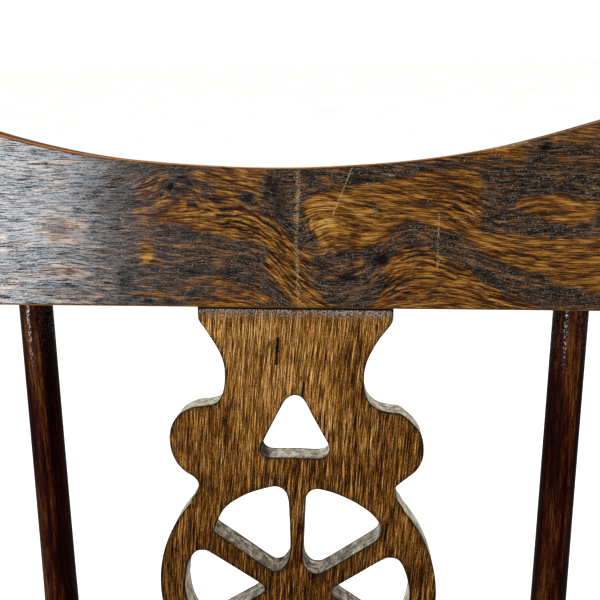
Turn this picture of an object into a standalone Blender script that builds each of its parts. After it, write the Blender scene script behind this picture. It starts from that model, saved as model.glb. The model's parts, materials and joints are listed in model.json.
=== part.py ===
"""A spinner's chair: a low wooden side chair whose splat is pierced as a spinning wheel.

Metres, +Z up. The front faces -Y and the floor is at zero. Left is -X.
The seat, the crest rail and the splat are elm boards. The legs, the stretchers and the two
plain sticks of the back are turned. Round tenons hold the legs, sticks and stretchers,
wedges spread the ends that go through the seat, and pegs lock the sticks in the crest rail.
"""

import math

import bmesh
import bpy
from mathutils import Vector

# Working clearances
JOINT_GAP = 0.0003
CUT_OVERRUN = 0.012
WELD_DISTANCE = 0.00005

# Seat board
SEAT_HEIGHT = 0.380
SEAT_THICKNESS = 0.036
SEAT_DEPTH = 0.375
SEAT_FRONT_WIDTH = 0.410
SEAT_BACK_MARGIN = 0.044
SEAT_FRONT_CORNER = 0.048
SEAT_BACK_CORNER = 0.036
SEAT_EDGE_ROUND = 0.006
DISH_DEPTH = 0.007
DISH_SIDE_RIM = 0.050
DISH_FRONT_RIM = 0.046

# Back: it leans away from the seat about the line where its middle plane meets the seat
BACK_LEAN = math.radians(12)
BACK_INSET = 0.047
STICK_SPACING = 0.264

# Crest rail
CREST_THICKNESS = 0.022
CREST_HEIGHT = 0.0655
CREST_OVERHANG = 0.048
CREST_HOLLOW_RADIUS = 0.540
CREST_EAR_RADIUS = 0.016
CREST_LOWER_CORNER = 0.012
CREST_ARRIS = 0.0012

# Splat: its upper half in stages above the hub, and the same mirrored below
SPLAT_THICKNESS = 0.0126
HUB_TO_LOBES = 0.0818
LOBES_TO_NECK = 0.0370
NECK_TO_CREST = 0.0350
SPLAT_TOP_WIDTH = 0.0946
NECK_WIDTH = 0.0686
LOBE_WIDTH = 0.1286
NOTCH_WIDTH = 0.1010
NOTCH_RISE = 0.0593
SPLAT_TENON_THICKNESS = 0.008
SPLAT_TENON_WIDTH = 0.064
SPLAT_TENON_DEPTH = 0.018

# Wheel in the splat
WHEEL_RADIUS = 0.0731
RIM_WIDTH = 0.0132
UPRIGHT_SPOKE_WIDTH = 0.0074
SLANTING_SPOKE_WIDTH = 0.0090
SLANTING_SPOKE_RISE = math.radians(34)
WINDOW_RIM_CORNER = 0.0042
WINDOW_HUB_CORNER = 0.0062
RIM_MEETS_NOTCH = math.radians(41.5)

# Triangular piercing between the lobes
TRIANGLE_HEIGHT = 0.0383
TRIANGLE_WIDTH = 0.0410
TRIANGLE_CORNER = 0.0052
TRIANGLE_BELOW_LOBES = 0.0055

# Back sticks
STICK_TOP_RADIUS = 0.0080
STICK_SWELL_RADIUS = 0.0092
STICK_SEAT_TENON_RADIUS = 0.0075
STICK_CREST_TENON_RADIUS = 0.0062
STICK_CREST_TENON_LENGTH = 0.030

# Pegs through the stick tenons, driven from behind
PEG_RADIUS = 0.0025
PEG_FRONT_COVER = 0.0055
PEG_RISE = 0.015

# Legs: where their axes pass the seat top and the floor
FRONT_LEG_SIDE_INSET = 0.052
FRONT_LEG_INSET = 0.062
REAR_LEG_SIDE_INSET = 0.050
REAR_LEG_INSET = 0.087
SIDE_SPLAY = 0.040
FRONT_SPLAY = 0.038
REAR_SPLAY = 0.062
LEG_RADIUS = 0.0175
LEG_TENON_RADIUS = 0.0120

# Stretchers
STRETCHER_HEIGHT = 0.132
STRETCHER_RADIUS = 0.0135
STRETCHER_TENON_RADIUS = 0.0078
STRETCHER_PAST_AXIS = 0.004
CROSS_STRETCHER_RADIUS = 0.0130
CROSS_TENON_RADIUS = 0.0065
CROSS_PAST_AXIS = 0.002

# Wedges: thickness across the head, and depth
LEG_WEDGE_HEAD = 0.0032
LEG_WEDGE_DEPTH = 0.022
STICK_WEDGE_HEAD = 0.0024
STICK_WEDGE_DEPTH = 0.018
WEDGE_TIP_SHARE = 0.35

# Leg outline: share of the length from the floor, and share of the full radius
LEG_SHARES = [
    (0.000, 0.66), (0.030, 0.74), (0.110, 0.90), (0.210, 0.99), (0.280, 1.00), (0.400, 1.00),
    (0.440, 0.93), (0.462, 0.80), (0.474, 0.88), (0.486, 0.96), (0.498, 0.96), (0.510, 0.88),
    (0.522, 0.80), (0.545, 0.89), (0.620, 0.95), (0.730, 0.93), (0.850, 0.84), (0.930, 0.76),
]

# Stretchers and sticks: share of the length, and share of the swelling above the end radius
STRETCHER_SHARES = [
    (0.08, 0.08), (0.16, 0.28), (0.28, 0.66), (0.39, 0.91), (0.45, 1.00),
    (0.55, 1.00), (0.61, 0.91), (0.72, 0.66), (0.84, 0.28), (0.92, 0.08),
]
STICK_SHARES = [(0.10, 0.35), (0.22, 0.90), (0.34, 1.00), (0.50, 0.52), (0.75, 0.20)]

# Splat outline: share of a stage's drop, and share of its change in half width
CREST_TO_NECK_SHARES = [
    (0.15, 0.00), (0.21, 0.03), (0.29, 0.16), (0.41, 0.38), (0.57, 0.63), (0.69, 0.80),
    (0.83, 0.94), (1.00, 1.00),
]
NECK_TO_LOBE_SHARES = [
    (0.12, 0.02), (0.24, 0.06), (0.35, 0.12), (0.405, 0.18), (0.435, 0.33), (0.465, 0.54),
    (0.52, 0.71), (0.60, 0.86), (0.73, 0.96), (1.00, 1.00),
]
LOBE_TO_NOTCH_SHARES = [
    (0.18, 0.01), (0.35, 0.08), (0.53, 0.24), (0.69, 0.49), (0.80, 0.79), (0.90, 0.96),
    (1.00, 1.00),
]

# Facets: steps round each form, and the angles past which an edge stays sharp or is rounded
SHARP_ANGLE = math.radians(35)
ARRIS_ANGLE = math.radians(60)
LEG_STEPS = 24
STICK_STEPS = 20
PEG_STEPS = 16
CORNER_STEPS = 5
WHEEL_STEPS = 12
DISH_STEPS = 48
DISH_RINGS = 7
HOLLOW_STEPS = 22

# Sizes that follow from the ones above
BACK_RISE = 2 * (HUB_TO_LOBES + LOBES_TO_NECK + NECK_TO_CREST)
HUB_RISE = BACK_RISE / 2
BACK_Y = SEAT_DEPTH / 2 - BACK_INSET
SEAT_BACK_WIDTH = STICK_SPACING + 2 * SEAT_BACK_MARGIN
CREST_HALF_WIDTH = STICK_SPACING / 2 + CREST_OVERHANG
THROUGH_SEAT = SEAT_THICKNESS / math.cos(BACK_LEAN)


def clear_scene():
    """Remove what the scene starts with, and make a collection each for the parts and the cutters."""
    for existing in list(bpy.data.objects):
        bpy.data.objects.remove(existing)
    made = []
    for name in ("spinning_chair", "cutters"):
        collection = bpy.data.collections.new(name)
        bpy.context.scene.collection.children.link(collection)
        made.append(collection)
    made[1].hide_render = True
    return made


PARTS, CUTTERS = clear_scene()


def wood(name, colour, roughness):
    """A plain wood finish."""
    made = bpy.data.materials.new(name)
    made.use_nodes = True
    shader = made.node_tree.nodes["Principled BSDF"]
    shader.inputs["Base Color"].default_value = (*colour, 1)
    shader.inputs["Roughness"].default_value = roughness
    shader.inputs["Metallic"].default_value = 0
    return made


def empty(name, parent=None):
    made = bpy.data.objects.new(name, None)
    PARTS.objects.link(made)
    made.parent = parent
    return made


def add(name, mesh, parent, cutter=False):
    """An object for this mesh, among the parts or, hidden from renders, among the cutters."""
    made = bpy.data.objects.new(name, mesh)
    (CUTTERS if cutter else PARTS).objects.link(made)
    made.parent = parent
    if cutter:
        made.hide_render = True
        made.display_type = "WIRE"
    return made


def aim(piece, start, direction):
    """Put the piece's origin at start and turn its Z axis this way, by the shortest turn."""
    piece.location = start
    piece.rotation_mode = "QUATERNION"
    piece.rotation_quaternion = Vector((0, 0, 1)).rotation_difference(Vector(direction))


def settle(source, cutter=False):
    """Swap a curve, or a profile with its Screw, for the welded mesh that it makes."""
    bpy.context.view_layer.update()
    evaluated = source.evaluated_get(bpy.context.evaluated_depsgraph_get())
    mesh = bpy.data.meshes.new_from_object(evaluated)
    welded = bmesh.new()
    welded.from_mesh(mesh)
    bmesh.ops.remove_doubles(welded, verts=welded.verts, dist=WELD_DISTANCE)
    welded.to_mesh(mesh)
    welded.free()
    name, parent, placed = source.name, source.parent, source.matrix_world.copy()
    bpy.data.objects.remove(source)
    settled = add(name, mesh, parent, cutter)
    settled.matrix_world = placed
    return settled


def turned(name, profile, steps, start, direction, parent, cutter=False):
    """A turned piece from (radius, height) points, top to bottom, its axis from start this way."""
    outline = bpy.data.meshes.new(name)
    points = [(radius, 0, height) for radius, height in profile]
    outline.from_pydata(points, [(i, i + 1) for i in range(len(points) - 1)], [])
    source = add(name, outline, parent, cutter)
    screw = source.modifiers.new("turn", "SCREW")
    screw.axis = "Z"
    screw.angle = math.tau
    screw.steps = steps
    screw.render_steps = steps
    screw.use_merge_vertices = True
    screw.merge_threshold = WELD_DISTANCE
    aim(source, start, direction)
    piece = settle(source, cutter)
    piece.data.shade_smooth()
    piece.data.set_sharp_from_angle(angle=SHARP_ANGLE)
    return piece


def board(name, outlines, thickness, parent, standing=False):
    """A board from flat closed outlines, holes included, its thickness centred on their plane."""
    flat = bpy.data.curves.new(name, "CURVE")
    flat.dimensions = "2D"
    flat.fill_mode = "BOTH"
    flat.extrude = thickness / 2
    for outline in outlines:
        spline = flat.splines.new("POLY")
        spline.points.add(len(outline) - 1)
        for point, (x, y) in zip(spline.points, outline):
            point.co = (x, y, 0, 1)
        spline.use_cyclic_u = True
    source = add(name, flat, parent)
    if standing:
        source.rotation_euler = (math.pi / 2, 0, 0)
    return source


def box(name, size, centre, parent, cutter=True):
    """A box of this size about this centre, in its parent's axes."""
    shape = bmesh.new()
    bmesh.ops.create_cube(shape, size=1)
    bmesh.ops.scale(shape, vec=size, verts=shape.verts)
    mesh = bpy.data.meshes.new(name)
    shape.to_mesh(mesh)
    shape.free()
    made = add(name, mesh, parent, cutter)
    made.location = centre
    return made


def rod(name, radius, start, end, steps, parent, cutter=True):
    """A plain cylinder from start to end, in its parent's axes."""
    length = (Vector(end) - Vector(start)).length
    shape = bmesh.new()
    bmesh.ops.create_cone(
        shape, cap_ends=True, segments=steps, radius1=radius, radius2=radius, depth=length
    )
    bmesh.ops.translate(shape, vec=(0, 0, length / 2), verts=shape.verts)
    mesh = bpy.data.meshes.new(name)
    shape.to_mesh(mesh)
    shape.free()
    mesh.shade_smooth()
    mesh.set_sharp_from_angle(angle=SHARP_ANGLE)
    made = add(name, mesh, parent, cutter)
    aim(made, start, Vector(end) - Vector(start))
    return made


def wedge(name, head, width, depth, place, direction, parent, cutter=False):
    """A wedge with its head at this place, thin along X, that narrows away from this direction.

    It is left long at the head, to be trimmed level."""
    taper = (1 - WEDGE_TIP_SHARE) * head / depth
    shape = bmesh.new()
    bmesh.ops.create_cube(shape, size=1)
    for corner in shape.verts:
        top = corner.co.z > 0
        height = CUT_OVERRUN if top else -depth
        corner.co.x *= head + taper * height
        corner.co.y *= width
        corner.co.z = height
    mesh = bpy.data.meshes.new(name)
    shape.to_mesh(mesh)
    shape.free()
    made = add(name, mesh, parent, cutter)
    aim(made, place, direction)
    return made


def change(piece, tool, operation="DIFFERENCE"):
    """Cut the tool from the piece, or join it on."""
    modifier = piece.modifiers.new(tool.name, "BOOLEAN")
    modifier.operation = operation
    modifier.object = tool
    modifier.solver = "EXACT"


def arc(centre, radius, first, last, steps):
    """Points along a circle, from one angle to another."""
    angles = [first + (last - first) * i / steps for i in range(steps + 1)]
    return [(centre[0] + radius * math.cos(a), centre[1] + radius * math.sin(a)) for a in angles]


def rounded(corners):
    """A closed anticlockwise outline from (x, y, radius) corners, each convex corner made an arc."""
    outline = []
    for i, (x, y, radius) in enumerate(corners):
        if not radius:
            outline.append((x, y))
            continue
        before = (Vector(corners[i - 1][:2]) - Vector((x, y))).normalized()
        after = (Vector(corners[(i + 1) % len(corners)][:2]) - Vector((x, y))).normalized()
        half = before.angle(after) / 2
        centre = Vector((x, y)) + (before + after).normalized() * radius / math.sin(half)
        turn = math.pi - 2 * half
        first = math.atan2(before.x, -before.y)
        outline += arc(centre, radius, first, first + turn, CORNER_STEPS)
    return outline


def mirrored(half):
    """A closed outline from its half at +X, listed from the lowest point to the highest."""
    return half + [(-x, y) for x, y in reversed(half) if x > 0]


def stage(top, bottom, shares):
    """Outline points from top to bottom, each a pair of half width and height."""
    return [
        (top[0] + across * (bottom[0] - top[0]), top[1] + drop * (bottom[1] - top[1]))
        for drop, across in shares
    ]


def splat_outline():
    """The splat's outer edge about the hub: tongue, neck, lobe, notch and wheel, four times over."""
    lobe = (LOBE_WIDTH / 2, HUB_TO_LOBES)
    neck = (NECK_WIDTH / 2, HUB_TO_LOBES + LOBES_TO_NECK)
    top = (SPLAT_TOP_WIDTH / 2, HUB_RISE - JOINT_GAP)
    notch = (NOTCH_WIDTH / 2, NOTCH_RISE)
    quarter = [top]
    quarter += stage(top, neck, CREST_TO_NECK_SHARES)
    quarter += stage(neck, lobe, NECK_TO_LOBE_SHARES)
    quarter += stage(lobe, notch, LOBE_TO_NOTCH_SHARES)
    quarter += arc((0, 0), WHEEL_RADIUS, RIM_MEETS_NOTCH, 0, WHEEL_STEPS)
    lower = [(x, -y) for x, y in quarter[:-1]]
    return mirrored(lower + quarter[::-1])


def window(first, first_width, last, last_width):
    """One opening of the wheel, between the spokes at two angles: arcs tangent to spokes and rim."""
    inner = WHEEL_RADIUS - RIM_WIDTH
    reach = inner - WINDOW_RIM_CORNER
    start_angle = first + math.asin((first_width / 2 + WINDOW_RIM_CORNER) / reach)
    end_angle = last - math.asin((last_width / 2 + WINDOW_RIM_CORNER) / reach)
    start = (reach * math.cos(start_angle), reach * math.sin(start_angle))
    end = (reach * math.cos(end_angle), reach * math.sin(end_angle))

    # The hub corner's centre keeps its radius from both spokes
    gap = last - first
    near_first = first_width / 2 + WINDOW_HUB_CORNER
    near_last = last_width / 2 + WINDOW_HUB_CORNER
    out = (near_last + near_first * math.cos(gap)) / math.sin(gap)
    hub = (
        out * math.cos(first) - near_first * math.sin(first),
        out * math.sin(first) + near_first * math.cos(first),
    )
    quarter = math.pi / 2
    outline = arc(start, WINDOW_RIM_CORNER, first - quarter, start_angle, CORNER_STEPS)
    outline += arc((0, 0), inner, start_angle, end_angle, WHEEL_STEPS)[1:-1]
    outline += arc(end, WINDOW_RIM_CORNER, end_angle, last + quarter, CORNER_STEPS)
    outline += arc(hub, WINDOW_HUB_CORNER, last + quarter, first + 3 * quarter, CORNER_STEPS)
    return outline


def splat_piercings():
    """The six windows of the wheel, and the triangles above and below it."""
    upright, slanting = UPRIGHT_SPOKE_WIDTH, SLANTING_SPOKE_WIDTH
    rise, quarter = SLANTING_SPOKE_RISE, math.pi / 2
    spokes = [
        (-rise, slanting), (rise, slanting), (quarter, upright),
        (math.pi - rise, slanting), (math.pi + rise, slanting), (3 * quarter, upright),
        (math.tau - rise, slanting),
    ]
    openings = [window(*spokes[i], *spokes[i + 1]) for i in range(6)]
    base = HUB_TO_LOBES - TRIANGLE_BELOW_LOBES
    triangle = rounded([
        (-TRIANGLE_WIDTH / 2, base, TRIANGLE_CORNER),
        (TRIANGLE_WIDTH / 2, base, TRIANGLE_CORNER),
        (0, base + TRIANGLE_HEIGHT, TRIANGLE_CORNER),
    ])
    return openings + [triangle, [(x, -y) for x, y in triangle]]


def crest_outline():
    """The rail's face: straight below, hollowed above to a wide arc, and rounded at the ears."""
    last = CREST_HALF_WIDTH - 2 * CREST_EAR_RADIUS
    sweep = math.asin(last / CREST_HOLLOW_RADIUS)
    centre = (0, CREST_HEIGHT + CREST_HOLLOW_RADIUS)
    hollow = arc(centre, CREST_HOLLOW_RADIUS, sweep - math.pi / 2, -sweep - math.pi / 2, HOLLOW_STEPS)
    ear_height = hollow[0][1] + math.tan(sweep) * (CREST_HALF_WIDTH - last)
    corners = [
        (-CREST_HALF_WIDTH, 0, CREST_LOWER_CORNER),
        (CREST_HALF_WIDTH, 0, CREST_LOWER_CORNER),
        (CREST_HALF_WIDTH, ear_height, CREST_EAR_RADIUS),
    ]
    corners += [(x, y, 0) for x, y in hollow]
    corners.append((-CREST_HALF_WIDTH, ear_height, CREST_EAR_RADIUS))
    return rounded(corners)


def soften(piece, width, segments):
    """Round the board's long arrises."""
    bevel = piece.modifiers.new("arris", "BEVEL")
    bevel.width = width
    bevel.segments = segments
    bevel.limit_method = "ANGLE"
    bevel.angle_limit = ARRIS_ANGLE
    bevel.use_clamp_overlap = True


def make_seat(chair):
    """An elm board, wider in front, with rounded corners and edges and a shallow dish."""
    front, back = -SEAT_DEPTH / 2, SEAT_DEPTH / 2
    outline = rounded([
        (-SEAT_FRONT_WIDTH / 2, front, SEAT_FRONT_CORNER),
        (SEAT_FRONT_WIDTH / 2, front, SEAT_FRONT_CORNER),
        (SEAT_BACK_WIDTH / 2, back, SEAT_BACK_CORNER),
        (-SEAT_BACK_WIDTH / 2, back, SEAT_BACK_CORNER),
    ])
    seat = board("seat", [outline], SEAT_THICKNESS, chair)
    seat.location = (0, 0, SEAT_HEIGHT - SEAT_THICKNESS / 2)
    seat = settle(seat)
    soften(seat, SEAT_EDGE_ROUND, 2)
    return seat


def make_dish_cutter(chair):
    """A shallow lens, its depth falling with the square of the distance from its middle."""
    front = -SEAT_DEPTH / 2 + DISH_FRONT_RIM
    back = BACK_Y - DISH_FRONT_RIM
    half_depth = (back - front) / 2
    half_width = (SEAT_FRONT_WIDTH + SEAT_BACK_WIDTH) / 4 - DISH_SIDE_RIM
    rim = [(0, CUT_OVERRUN), (half_width, CUT_OVERRUN)]
    bowl = []
    for i in range(DISH_RINGS):
        share = i / DISH_RINGS
        bowl.append((half_width * (1 - share), -DISH_DEPTH * share * (2 - share)))
    dish = turned(
        "dish", rim + bowl + [(0, -DISH_DEPTH)], DISH_STEPS,
        (0, (front + back) / 2, SEAT_HEIGHT), (0, 0, 1), chair, True,
    )
    dish.scale = (1, half_depth / half_width, 1)
    return dish


def leg_ends(side, row):
    """Where a leg's axis passes the floor and the seat top. side is -1 or 1, row is front or rear."""
    if row == "front":
        x = SEAT_FRONT_WIDTH / 2 - FRONT_LEG_SIDE_INSET
        y = FRONT_LEG_INSET - SEAT_DEPTH / 2
        splay = -FRONT_SPLAY
    else:
        x = SEAT_BACK_WIDTH / 2 - REAR_LEG_SIDE_INSET
        y = SEAT_DEPTH / 2 - REAR_LEG_INSET
        splay = REAR_SPLAY
    return (side * (x + SIDE_SPLAY), y + splay, 0), (side * x, y, SEAT_HEIGHT)


def make_leg(name, foot, head, chair):
    """A turned leg, its foot and tenon left long. The tenon runs from under the seat to its top."""
    length = (Vector(head) - Vector(foot)).length
    body = length * (SEAT_HEIGHT - SEAT_THICKNESS) / SEAT_HEIGHT
    profile = [(0, length + CUT_OVERRUN), (LEG_TENON_RADIUS, length + CUT_OVERRUN)]
    profile.append((LEG_TENON_RADIUS, body - LEG_TENON_RADIUS / 2))
    profile += [(LEG_RADIUS * radius, body * rise) for rise, radius in reversed(LEG_SHARES)]
    profile += [(LEG_RADIUS * LEG_SHARES[0][1], -CUT_OVERRUN), (0, -CUT_OVERRUN)]
    return turned(name, profile, LEG_STEPS, foot, Vector(head) - Vector(foot), chair)


def level_cutter(name, height, above, chair):
    """A wide box whose lower face, or upper face, lies at this height."""
    span = 2 * (SEAT_FRONT_WIDTH + SEAT_DEPTH)
    thick = 4 * CUT_OVERRUN
    middle = height + thick / 2 if above else height - thick / 2
    return box(name, (span, span, thick), (0, 0, middle), chair)


def make_stretcher(name, start, end, radius, tenon, past, host, steps, chair):
    """A turned stretcher between two axes: its tenons end past each, under the host's surface."""
    direction = (Vector(end) - Vector(start)).normalized()
    first = Vector(start) - direction * past
    last = Vector(end) + direction * past
    length = (last - first).length
    shown = past + host + JOINT_GAP
    profile = [(0, length), (tenon, length), (tenon, length - shown)]
    run = length - 2 * shown
    profile += [(tenon + (radius - tenon) * share, shown + run * rise)
                for rise, share in reversed(STRETCHER_SHARES)]
    profile += [(tenon, shown), (tenon, 0), (0, 0)]
    return turned(name, profile, steps, first, direction, chair)


def make_stick(name, x, back):
    """A plain stick of the back, tapered to the crest rail, with a tenon at each end."""
    below = -THROUGH_SEAT - CUT_OVERRUN
    shoulder = BACK_RISE - JOINT_GAP
    tip = BACK_RISE + STICK_CREST_TENON_LENGTH
    profile = [
        (0, tip), (STICK_CREST_TENON_RADIUS, tip), (STICK_CREST_TENON_RADIUS, shoulder),
        (STICK_TOP_RADIUS, shoulder),
    ]
    rise = STICK_SWELL_RADIUS - STICK_TOP_RADIUS
    profile += [(STICK_TOP_RADIUS + rise * share, BACK_RISE * height)
                for height, share in reversed(STICK_SHARES)]
    profile += [
        (STICK_SEAT_TENON_RADIUS, STICK_SEAT_TENON_RADIUS), (STICK_SEAT_TENON_RADIUS, below),
        (0, below),
    ]
    profile = [(radius, height - below) for radius, height in profile]
    return turned(name, profile, STICK_STEPS, (x, 0, below), (0, 0, 1), back)


def centre_on_floor(chair):
    """Move the whole chair so that the middle of its box stands on the world's origin."""
    bpy.context.view_layer.update()
    graph = bpy.context.evaluated_depsgraph_get()
    places = []
    for piece in PARTS.objects:
        if piece.type == "MESH":
            evaluated = piece.evaluated_get(graph)
            mesh = evaluated.to_mesh()
            places += [evaluated.matrix_world @ vertex.co for vertex in mesh.vertices]
            evaluated.to_mesh_clear()
    for axis in (0, 1):
        low = min(place[axis] for place in places)
        high = max(place[axis] for place in places)
        chair.location[axis] -= (low + high) / 2


def build():
    elm = wood("elm", (0.150, 0.066, 0.024), 0.42)
    stained = wood("stained_beech", (0.045, 0.017, 0.008), 0.30)
    peg_wood = wood("peg_oak", (0.115, 0.052, 0.022), 0.50)

    chair = empty("chair_frame")
    back = empty("back_frame", chair)
    back.location = (0, BACK_Y, SEAT_HEIGHT)
    back.rotation_euler = (-BACK_LEAN, 0, 0)

    seat = make_seat(chair)
    seat_top = level_cutter("seat_top_level", SEAT_HEIGHT, True, chair)
    seat_underside = level_cutter("seat_underside_level", SEAT_HEIGHT - SEAT_THICKNESS, False, chair)
    floor = level_cutter("floor_level", 0, False, chair)
    dish = make_dish_cutter(chair)
    change(seat, dish)
    seat.data.materials.append(elm)

    # Legs, with their wedges
    ends = {}
    legs = {}
    for row in ("front", "rear"):
        for side, hand in ((-1, "left"), (1, "right")):
            name = f"{row}_{hand}_leg"
            foot, head = leg_ends(side, row)
            ends[row, hand] = (Vector(foot), Vector(head))
            direction = (Vector(head) - Vector(foot)).normalized()
            leg = make_leg(name, foot, head, chair)
            legs[row, hand] = leg
            kerf = wedge(
                f"{name}_kerf", LEG_WEDGE_HEAD + 2 * JOINT_GAP,
                2 * LEG_TENON_RADIUS + 2 * CUT_OVERRUN, LEG_WEDGE_DEPTH + JOINT_GAP,
                head, direction, chair, True,
            )
            key_width = 2 * math.sqrt(LEG_TENON_RADIUS**2 - LEG_WEDGE_HEAD**2) - JOINT_GAP
            key = wedge(
                f"{name}_wedge", LEG_WEDGE_HEAD, key_width, LEG_WEDGE_DEPTH, head, direction, chair
            )
            socket = rod(
                f"{name}_socket", LEG_TENON_RADIUS + JOINT_GAP,
                Vector(head) - direction * (SEAT_THICKNESS + 2 * CUT_OVERRUN),
                Vector(head) + direction * CUT_OVERRUN, LEG_STEPS, chair,
            )
            change(seat, socket)
            for cutter in (floor, seat_top, dish, kerf):
                change(leg, cutter)
            for cutter in (seat_top, dish):
                change(key, cutter)
            leg.data.materials.append(stained)
            key.data.materials.append(peg_wood)

    # Stretchers: one each side between the legs, and one across between those two
    middles = []
    level = STRETCHER_HEIGHT / SEAT_HEIGHT
    sides = {}
    for hand in ("left", "right"):
        start = ends["front", hand][0].lerp(ends["front", hand][1], level)
        end = ends["rear", hand][0].lerp(ends["rear", hand][1], level)
        name = f"{hand}_side_stretcher"
        piece = make_stretcher(
            name, start, end, STRETCHER_RADIUS, STRETCHER_TENON_RADIUS,
            STRETCHER_PAST_AXIS, LEG_RADIUS, STICK_STEPS, chair,
        )
        direction = (end - start).normalized()
        reach = STRETCHER_PAST_AXIS + JOINT_GAP
        socket = rod(
            f"{name}_sockets", STRETCHER_TENON_RADIUS + JOINT_GAP,
            start - direction * reach, end + direction * reach, STICK_STEPS, chair,
        )
        for row in ("front", "rear"):
            change(legs[row, hand], socket)
        middles.append((start + end) / 2)
        sides[hand] = piece
        piece.data.materials.append(stained)
    cross = make_stretcher(
        "cross_stretcher", *middles, CROSS_STRETCHER_RADIUS, CROSS_TENON_RADIUS,
        CROSS_PAST_AXIS, STRETCHER_RADIUS, STICK_STEPS, chair,
    )
    direction = (middles[1] - middles[0]).normalized()
    reach = direction * (CROSS_PAST_AXIS + JOINT_GAP)
    socket = rod(
        "cross_stretcher_sockets", CROSS_TENON_RADIUS + JOINT_GAP,
        middles[0] - reach, middles[1] + reach, STICK_STEPS, chair,
    )
    for piece in sides.values():
        change(piece, socket)
    cross.data.materials.append(stained)

    # Crest rail
    crest = board("crest_rail", [crest_outline()], CREST_THICKNESS, back, standing=True)
    crest.location = (0, 0, BACK_RISE)
    crest = settle(crest)
    soften(crest, CREST_ARRIS, 1)
    crest.data.materials.append(elm)

    # Splat, trimmed to the seat, with a thinner tenon at each end
    splat = board(
        "back_splat", [splat_outline(), *splat_piercings()], SPLAT_THICKNESS, back, standing=True
    )
    splat.location = (0, 0, HUB_RISE)
    splat = settle(splat)
    seat_rest = level_cutter("splat_foot_level", SEAT_HEIGHT + JOINT_GAP, False, chair)
    change(splat, seat_rest)
    for end, height, up in (("top", BACK_RISE, 1), ("foot", 0, -1)):
        rooted = NECK_TO_CREST / 2
        size = (SPLAT_TENON_WIDTH, SPLAT_TENON_THICKNESS, SPLAT_TENON_DEPTH + rooted)
        middle = height + up * (SPLAT_TENON_DEPTH - rooted) / 2
        tenon = box(f"splat_{end}_tenon", size, (0, 0, middle), back)
        change(splat, tenon, "UNION")
        deep = SPLAT_TENON_DEPTH + JOINT_GAP + CUT_OVERRUN
        size = (SPLAT_TENON_WIDTH + 2 * JOINT_GAP, SPLAT_TENON_THICKNESS + 2 * JOINT_GAP, deep)
        middle = height + up * (SPLAT_TENON_DEPTH + JOINT_GAP - CUT_OVERRUN) / 2
        mortise = box(f"splat_{end}_mortise", size, (0, 0, middle), back)
        change(crest if up > 0 else seat, mortise)
    splat.data.materials.append(elm)

    # Sticks, their pegs in the crest rail and their wedges under the seat
    for side, hand in ((-1, "left"), (1, "right")):
        x = side * STICK_SPACING / 2
        name = f"{hand}_back_stick"
        stick = make_stick(name, x, back)
        below = -THROUGH_SEAT - 2 * CUT_OVERRUN
        seat_socket = rod(
            f"{name}_seat_socket", STICK_SEAT_TENON_RADIUS + JOINT_GAP,
            (x, 0, below), (x, 0, CUT_OVERRUN), STICK_STEPS, back,
        )
        change(seat, seat_socket)
        crest_socket = rod(
            f"{name}_crest_socket", STICK_CREST_TENON_RADIUS + JOINT_GAP,
            (x, 0, BACK_RISE - CUT_OVERRUN),
            (x, 0, BACK_RISE + STICK_CREST_TENON_LENGTH + JOINT_GAP), STICK_STEPS, back,
        )
        change(crest, crest_socket)
        rear_face = CREST_THICKNESS / 2
        tip = PEG_FRONT_COVER - CREST_THICKNESS / 2
        height = BACK_RISE + PEG_RISE
        peg = rod(
            f"{hand}_crest_peg", PEG_RADIUS, (x, rear_face, height), (x, tip, height),
            PEG_STEPS, back, cutter=False,
        )
        peg.data.materials.append(peg_wood)
        peg_hole = rod(
            f"{hand}_crest_peg_hole", PEG_RADIUS + JOINT_GAP,
            (x, rear_face + CUT_OVERRUN, height), (x, tip - JOINT_GAP, height), PEG_STEPS, back,
        )
        for piece in (crest, stick):
            change(piece, peg_hole)
        kerf = wedge(
            f"{name}_kerf", STICK_WEDGE_HEAD + 2 * JOINT_GAP,
            2 * STICK_SEAT_TENON_RADIUS + 2 * CUT_OVERRUN, STICK_WEDGE_DEPTH + JOINT_GAP,
            (x, 0, -THROUGH_SEAT), (0, 0, -1), back, True,
        )
        key_width = 2 * math.sqrt(STICK_SEAT_TENON_RADIUS**2 - STICK_WEDGE_HEAD**2) - JOINT_GAP
        key = wedge(
            f"{hand}_stick_wedge", STICK_WEDGE_HEAD, key_width, STICK_WEDGE_DEPTH,
            (x, 0, -THROUGH_SEAT), (0, 0, -1), back,
        )
        for cutter in (seat_underside, kerf):
            change(stick, cutter)
        change(key, seat_underside)
        stick.data.materials.append(stained)
        key.data.materials.append(peg_wood)

    centre_on_floor(chair)


build()
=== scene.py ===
"""The looks of a low spinner's chair: stained elm boards and dark turned sticks in studio light."""

import json
import math

import bpy
import numpy as np
from mathutils import Matrix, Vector
from mathutils.geometry import delaunay_2d_cdt


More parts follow.
